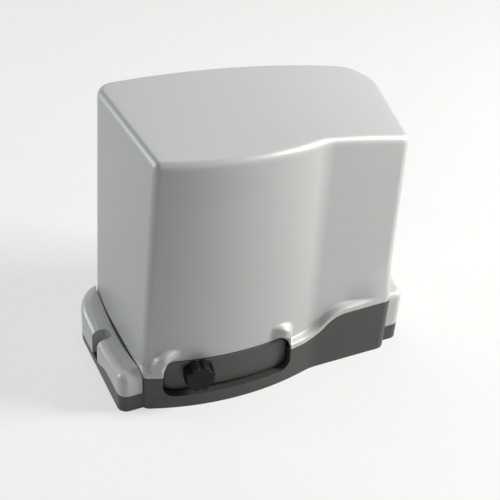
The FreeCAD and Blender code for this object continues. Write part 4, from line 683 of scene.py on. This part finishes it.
@dataclass
class Studio:
    """White floor and backdrop, soft lamps and the camera."""

    place: tuple[float, float, float] = (-0.41057, -0.80395, 0.77074)
    yaw: float = 27.515
    pitch: float = 36.0
    roll: float = 4.05
    lens: float = 75.52
    sensor: float = 36.0
    floor_size: float = 6.0
    floor_lit: tuple[float, float, float] = (0.60, 0.60, 0.59)
    floor_shown: tuple[float, float, float] = (0.95, 0.935, 0.90)
    floor_glow: float = 0.62
    sky_tint: tuple[float, float, float] = (0.97, 0.985, 1.0)
    sky_strength: float = 0.06
    lamps: tuple[Lamp, ...] = (
        Lamp("key", (1.70, -0.68, 1.15), 0.6, 52.0, (1.0, 0.99, 0.96)),
        Lamp("top", (0.2, 0.9, 1.9), 1.2, 5.0, (0.90, 0.94, 1.0)),
        Lamp("left", (-1.9, 1.1, 0.6), 0.8, 15.0, (0.97, 1.0, 0.96)))

    def build(self) -> None:
        """Builds floor, world, lamps and camera."""
        self._floor()
        self._world()
        bpy.context.scene.view_settings.view_transform = "Standard"
        for lamp in self.lamps:
            lamp.build()
        self._camera()
        LOG.info("studio: floor, world, %d lamps and camera", len(self.lamps))

    @staticmethod
    def _shown(tree: bpy.types.NodeTree) -> bpy.types.NodeSocket:
        """One for what the camera sees, at first hand, in a reflection or through glass.

        Args:
            tree: Node tree to build in.

        Returns:
            The socket that holds one for these rays and zero for all others.
        """
        path = tree.nodes.new("ShaderNodeLightPath")
        last = path.outputs["Is Camera Ray"]
        for kind in ("Is Glossy Ray", "Is Transmission Ray"):
            more = tree.nodes.new("ShaderNodeMath")
            more.operation = "MAXIMUM"
            tree.links.new(last, more.inputs[0])
            tree.links.new(path.outputs[kind], more.inputs[1])
            last = more.outputs[0]
        return last

    def _floor(self) -> None:
        """Pale floor: a share of what is seen is its own white, so that its shadows stay light."""
        half = self.floor_size
        corners = [(-half, -half, 0), (half, -half, 0), (half, half, 0), (-half, half, 0)]
        mesh = bpy.data.meshes.new("floor")
        mesh.from_pydata(corners, [], [(0, 1, 2, 3)])
        floor = bpy.data.objects.new("floor", mesh)
        bpy.context.scene.collection.objects.link(floor)
        material = bpy.data.materials.new("floor_white")
        material.use_nodes = True
        tree = material.node_tree
        tree.nodes.clear()
        out = tree.nodes.new("ShaderNodeOutputMaterial")
        mix = tree.nodes.new("ShaderNodeMixShader")
        paint = tree.nodes.new("ShaderNodeBsdfDiffuse")
        seen = tree.nodes.new("ShaderNodeMix")
        seen.data_type = "RGBA"
        seen.inputs[6].default_value = (*self.floor_lit, 1)
        seen.inputs[7].default_value = (*self.floor_shown, 1)
        glow = tree.nodes.new("ShaderNodeEmission")
        glow.inputs["Color"].default_value = (1, 1, 1, 1)
        shown = self._shown(tree)
        share = tree.nodes.new("ShaderNodeMath")
        share.operation = "MULTIPLY"
        share.inputs[1].default_value = self.floor_glow
        tree.links.new(shown, seen.inputs[0])
        tree.links.new(seen.outputs[2], paint.inputs["Color"])
        tree.links.new(shown, share.inputs[0])
        tree.links.new(share.outputs[0], mix.inputs["Fac"])
        tree.links.new(paint.outputs[0], mix.inputs[1])
        tree.links.new(glow.outputs[0], mix.inputs[2])
        tree.links.new(mix.outputs[0], out.inputs["Surface"])
        mesh.materials.append(material)

    def _world(self) -> None:
        """World that lights softly, and is white to the camera, in reflections and through glass."""
        world = bpy.data.worlds.new("studio")
        world.use_nodes = True
        bpy.context.scene.world = world
        tree = world.node_tree
        tree.nodes.clear()
        out = tree.nodes.new("ShaderNodeOutputWorld")
        mix = tree.nodes.new("ShaderNodeMixShader")
        soft, white = (tree.nodes.new("ShaderNodeBackground") for _ in range(2))
        soft.inputs["Strength"].default_value = self.sky_strength
        white.inputs["Strength"].default_value = 1.0
        white.inputs["Color"].default_value = (1, 1, 1, 1)
        soft.inputs["Color"].default_value = (*self.sky_tint, 1)
        tree.links.new(self._shown(tree), mix.inputs["Fac"])
        tree.links.new(soft.outputs[0], mix.inputs[1])
        tree.links.new(white.outputs[0], mix.inputs[2])
        tree.links.new(mix.outputs[0], out.inputs["Surface"])

    def _camera(self) -> None:
        """Camera at its place, turned by yaw, then pitch, then roll."""
        data = bpy.data.cameras.new("camera")
        data.lens, data.sensor_width = self.lens, self.sensor
        camera = bpy.data.objects.new("camera", data)
        turn = (Matrix.Rotation(math.radians(-self.yaw), 4, "Z")
                @ Matrix.Rotation(math.radians(90 - self.pitch), 4, "X")
                @ Matrix.Rotation(math.radians(self.roll), 4, "Z"))
        camera.matrix_world = Matrix.Translation(self.place) @ turn
        bpy.context.scene.collection.objects.link(camera)
        bpy.context.scene.camera = camera


# ---------------------------------------------------------------- sub-assemblies
@dataclass
class Assembly:
    """A group of CAD nodes and the finish that each gets."""

    name: str = ""
    looks: dict[Finish, tuple[str, ...]] = field(default_factory=dict)

    def build(self, frame: dict, finishes: Finishes) -> None:
        """Dresses the group's nodes and reports each.

        Args:
            finishes: Store of materials.
        """
        for finish, nodes in self.looks.items():
            for node in nodes:
                mesh = frame["nodes"][node].data
                mesh.materials.clear()
                mesh.materials.append(finishes.material(finish))
                LOG.info("%s: %s in %s", self.name, node, finish.name)


@dataclass
class Housing(Assembly):
    """Base casting, side covers and the hood, whose moulded surface stands in for its plain solid."""

    name: str = "housing"
    looks: dict[Finish, tuple[str, ...]] = field(default_factory=lambda: {
        CAST_PAINT: ("base_casting",),
        HOOD_PAINT: ("hood", "left_side_cover", "right_side_cover"),
        RUBBER: ("hood_gasket",),
        STEEL: ("hood_screws",),
        ZINC: ("levelling_screws",)})
    hood: Hood = field(default_factory=Hood)

    def build(self, frame: dict, finishes: Finishes) -> None:
        """Dresses the housing's nodes, then builds the moulded hood and puts it in the plain one's place.

        Args:
            finishes: Store of materials.
        """
        super().build(frame, finishes)
        hood = self.hood.build()
        hood.data.materials.append(finishes.material(HOOD_PAINT))
        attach(hood, "root")
        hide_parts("hood")
        LOG.info("%s: moulded hood of %d faces in %s", self.name, len(hood.data.polygons), HOOD_PAINT.name)


@dataclass
class Release(Assembly):
    """Lever, knob and lock spindle, and the fork and collar that they move."""

    name: str = "release"
    looks: dict[Finish, tuple[str, ...]] = field(default_factory=lambda: {
        LEVER_PLASTIC: ("release_lever",),
        KNOB_PLASTIC: ("release_knob",),
        STEEL: ("lever_hinge_pin", "lock_spindle", "release_fork", "clutch_collar")})


@dataclass
class Gearbox(Assembly):
    """Gear case, worm gear, bearings, output shaft and the pinion on its nose."""

    name: str = "gearbox"
    looks: dict[Finish, tuple[str, ...]] = field(default_factory=lambda: {
        CAST_ALU: ("gear_case", "gear_case_cover"),
        ZINC: ("gear_case_screws", "pinion_washer", "pinion_screw"),
        STEEL: ("rear_output_bearing", "front_output_bearing", "worm_bearing_motor_side",
                "worm_bearing_end_side", "output_shaft", "pinion_key", "output_pinion",
                "worm_wheel_hub", "worm_shaft"),
        BRONZE: ("worm_wheel_rim",),
        RUBBER: ("output_oil_seal",)})


@dataclass
class Motor(Assembly):
    """Can with its magnets, rotor, commutator, brushes and end bell."""

    name: str = "motor"
    looks: dict[Finish, tuple[str, ...]] = field(default_factory=lambda: {
        CAN_PAINT: ("motor_can",),
        CAST_ALU: ("motor_end_bell",),
        FERRITE: ("motor_magnets",),
        STEEL: ("rotor_core", "motor_tail_bearing"),
        COPPER: ("rotor_windings", "commutator"),
        BLACK_PLASTIC: ("motor_brushes",)})


@dataclass
class Transformer(Assembly):
    """Wound ring on its pad, with the clamp plate and bolt."""

    name: str = "transformer"
    looks: dict[Finish, tuple[str, ...]] = field(default_factory=lambda: {
        TAPE: ("transformer",),
        RUBBER: ("transformer_pad",),
        ZINC: ("transformer_clamp", "transformer_bolt")})


@dataclass
class Control(Assembly):
    """Circuit board with its parts, on posts and a carrier."""

    name: str = "control"
    looks: dict[Finish, tuple[str, ...]] = field(default_factory=lambda: {
        WHITE_PLASTIC: ("board_carrier", "board_posts"),
        LAMINATE: ("circuit_board",),
        ZINC: ("board_screws",),
        GREEN_PLASTIC: ("terminal_blocks",),
        BLACK_PLASTIC: ("relays", "capacitors", "fuse_holder", "controller_chip")})


@dataclass
class LimitSwitch(Assembly):
    """Switch body and its spring lever over the rack."""

    name: str = "limit switch"
    looks: dict[Finish, tuple[str, ...]] = field(default_factory=lambda: {
        BLACK_PLASTIC: ("limit_switch_body",),
        ZINC: ("limit_lever", "limit_spring")})


def main() -> None:
    """Builds the looks round the frame, one sub-assembly after the other, and reports each piece."""
    logging.basicConfig(level=logging.INFO, format="%(message)s")
    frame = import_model()
    finishes = Finishes()
    for assembly in (Housing(), Release(), Gearbox(), Motor(), Transformer(), Control(), LimitSwitch()):
        assembly.build(frame, finishes)
    Studio().build()


if __name__ == "__main__":
    main()
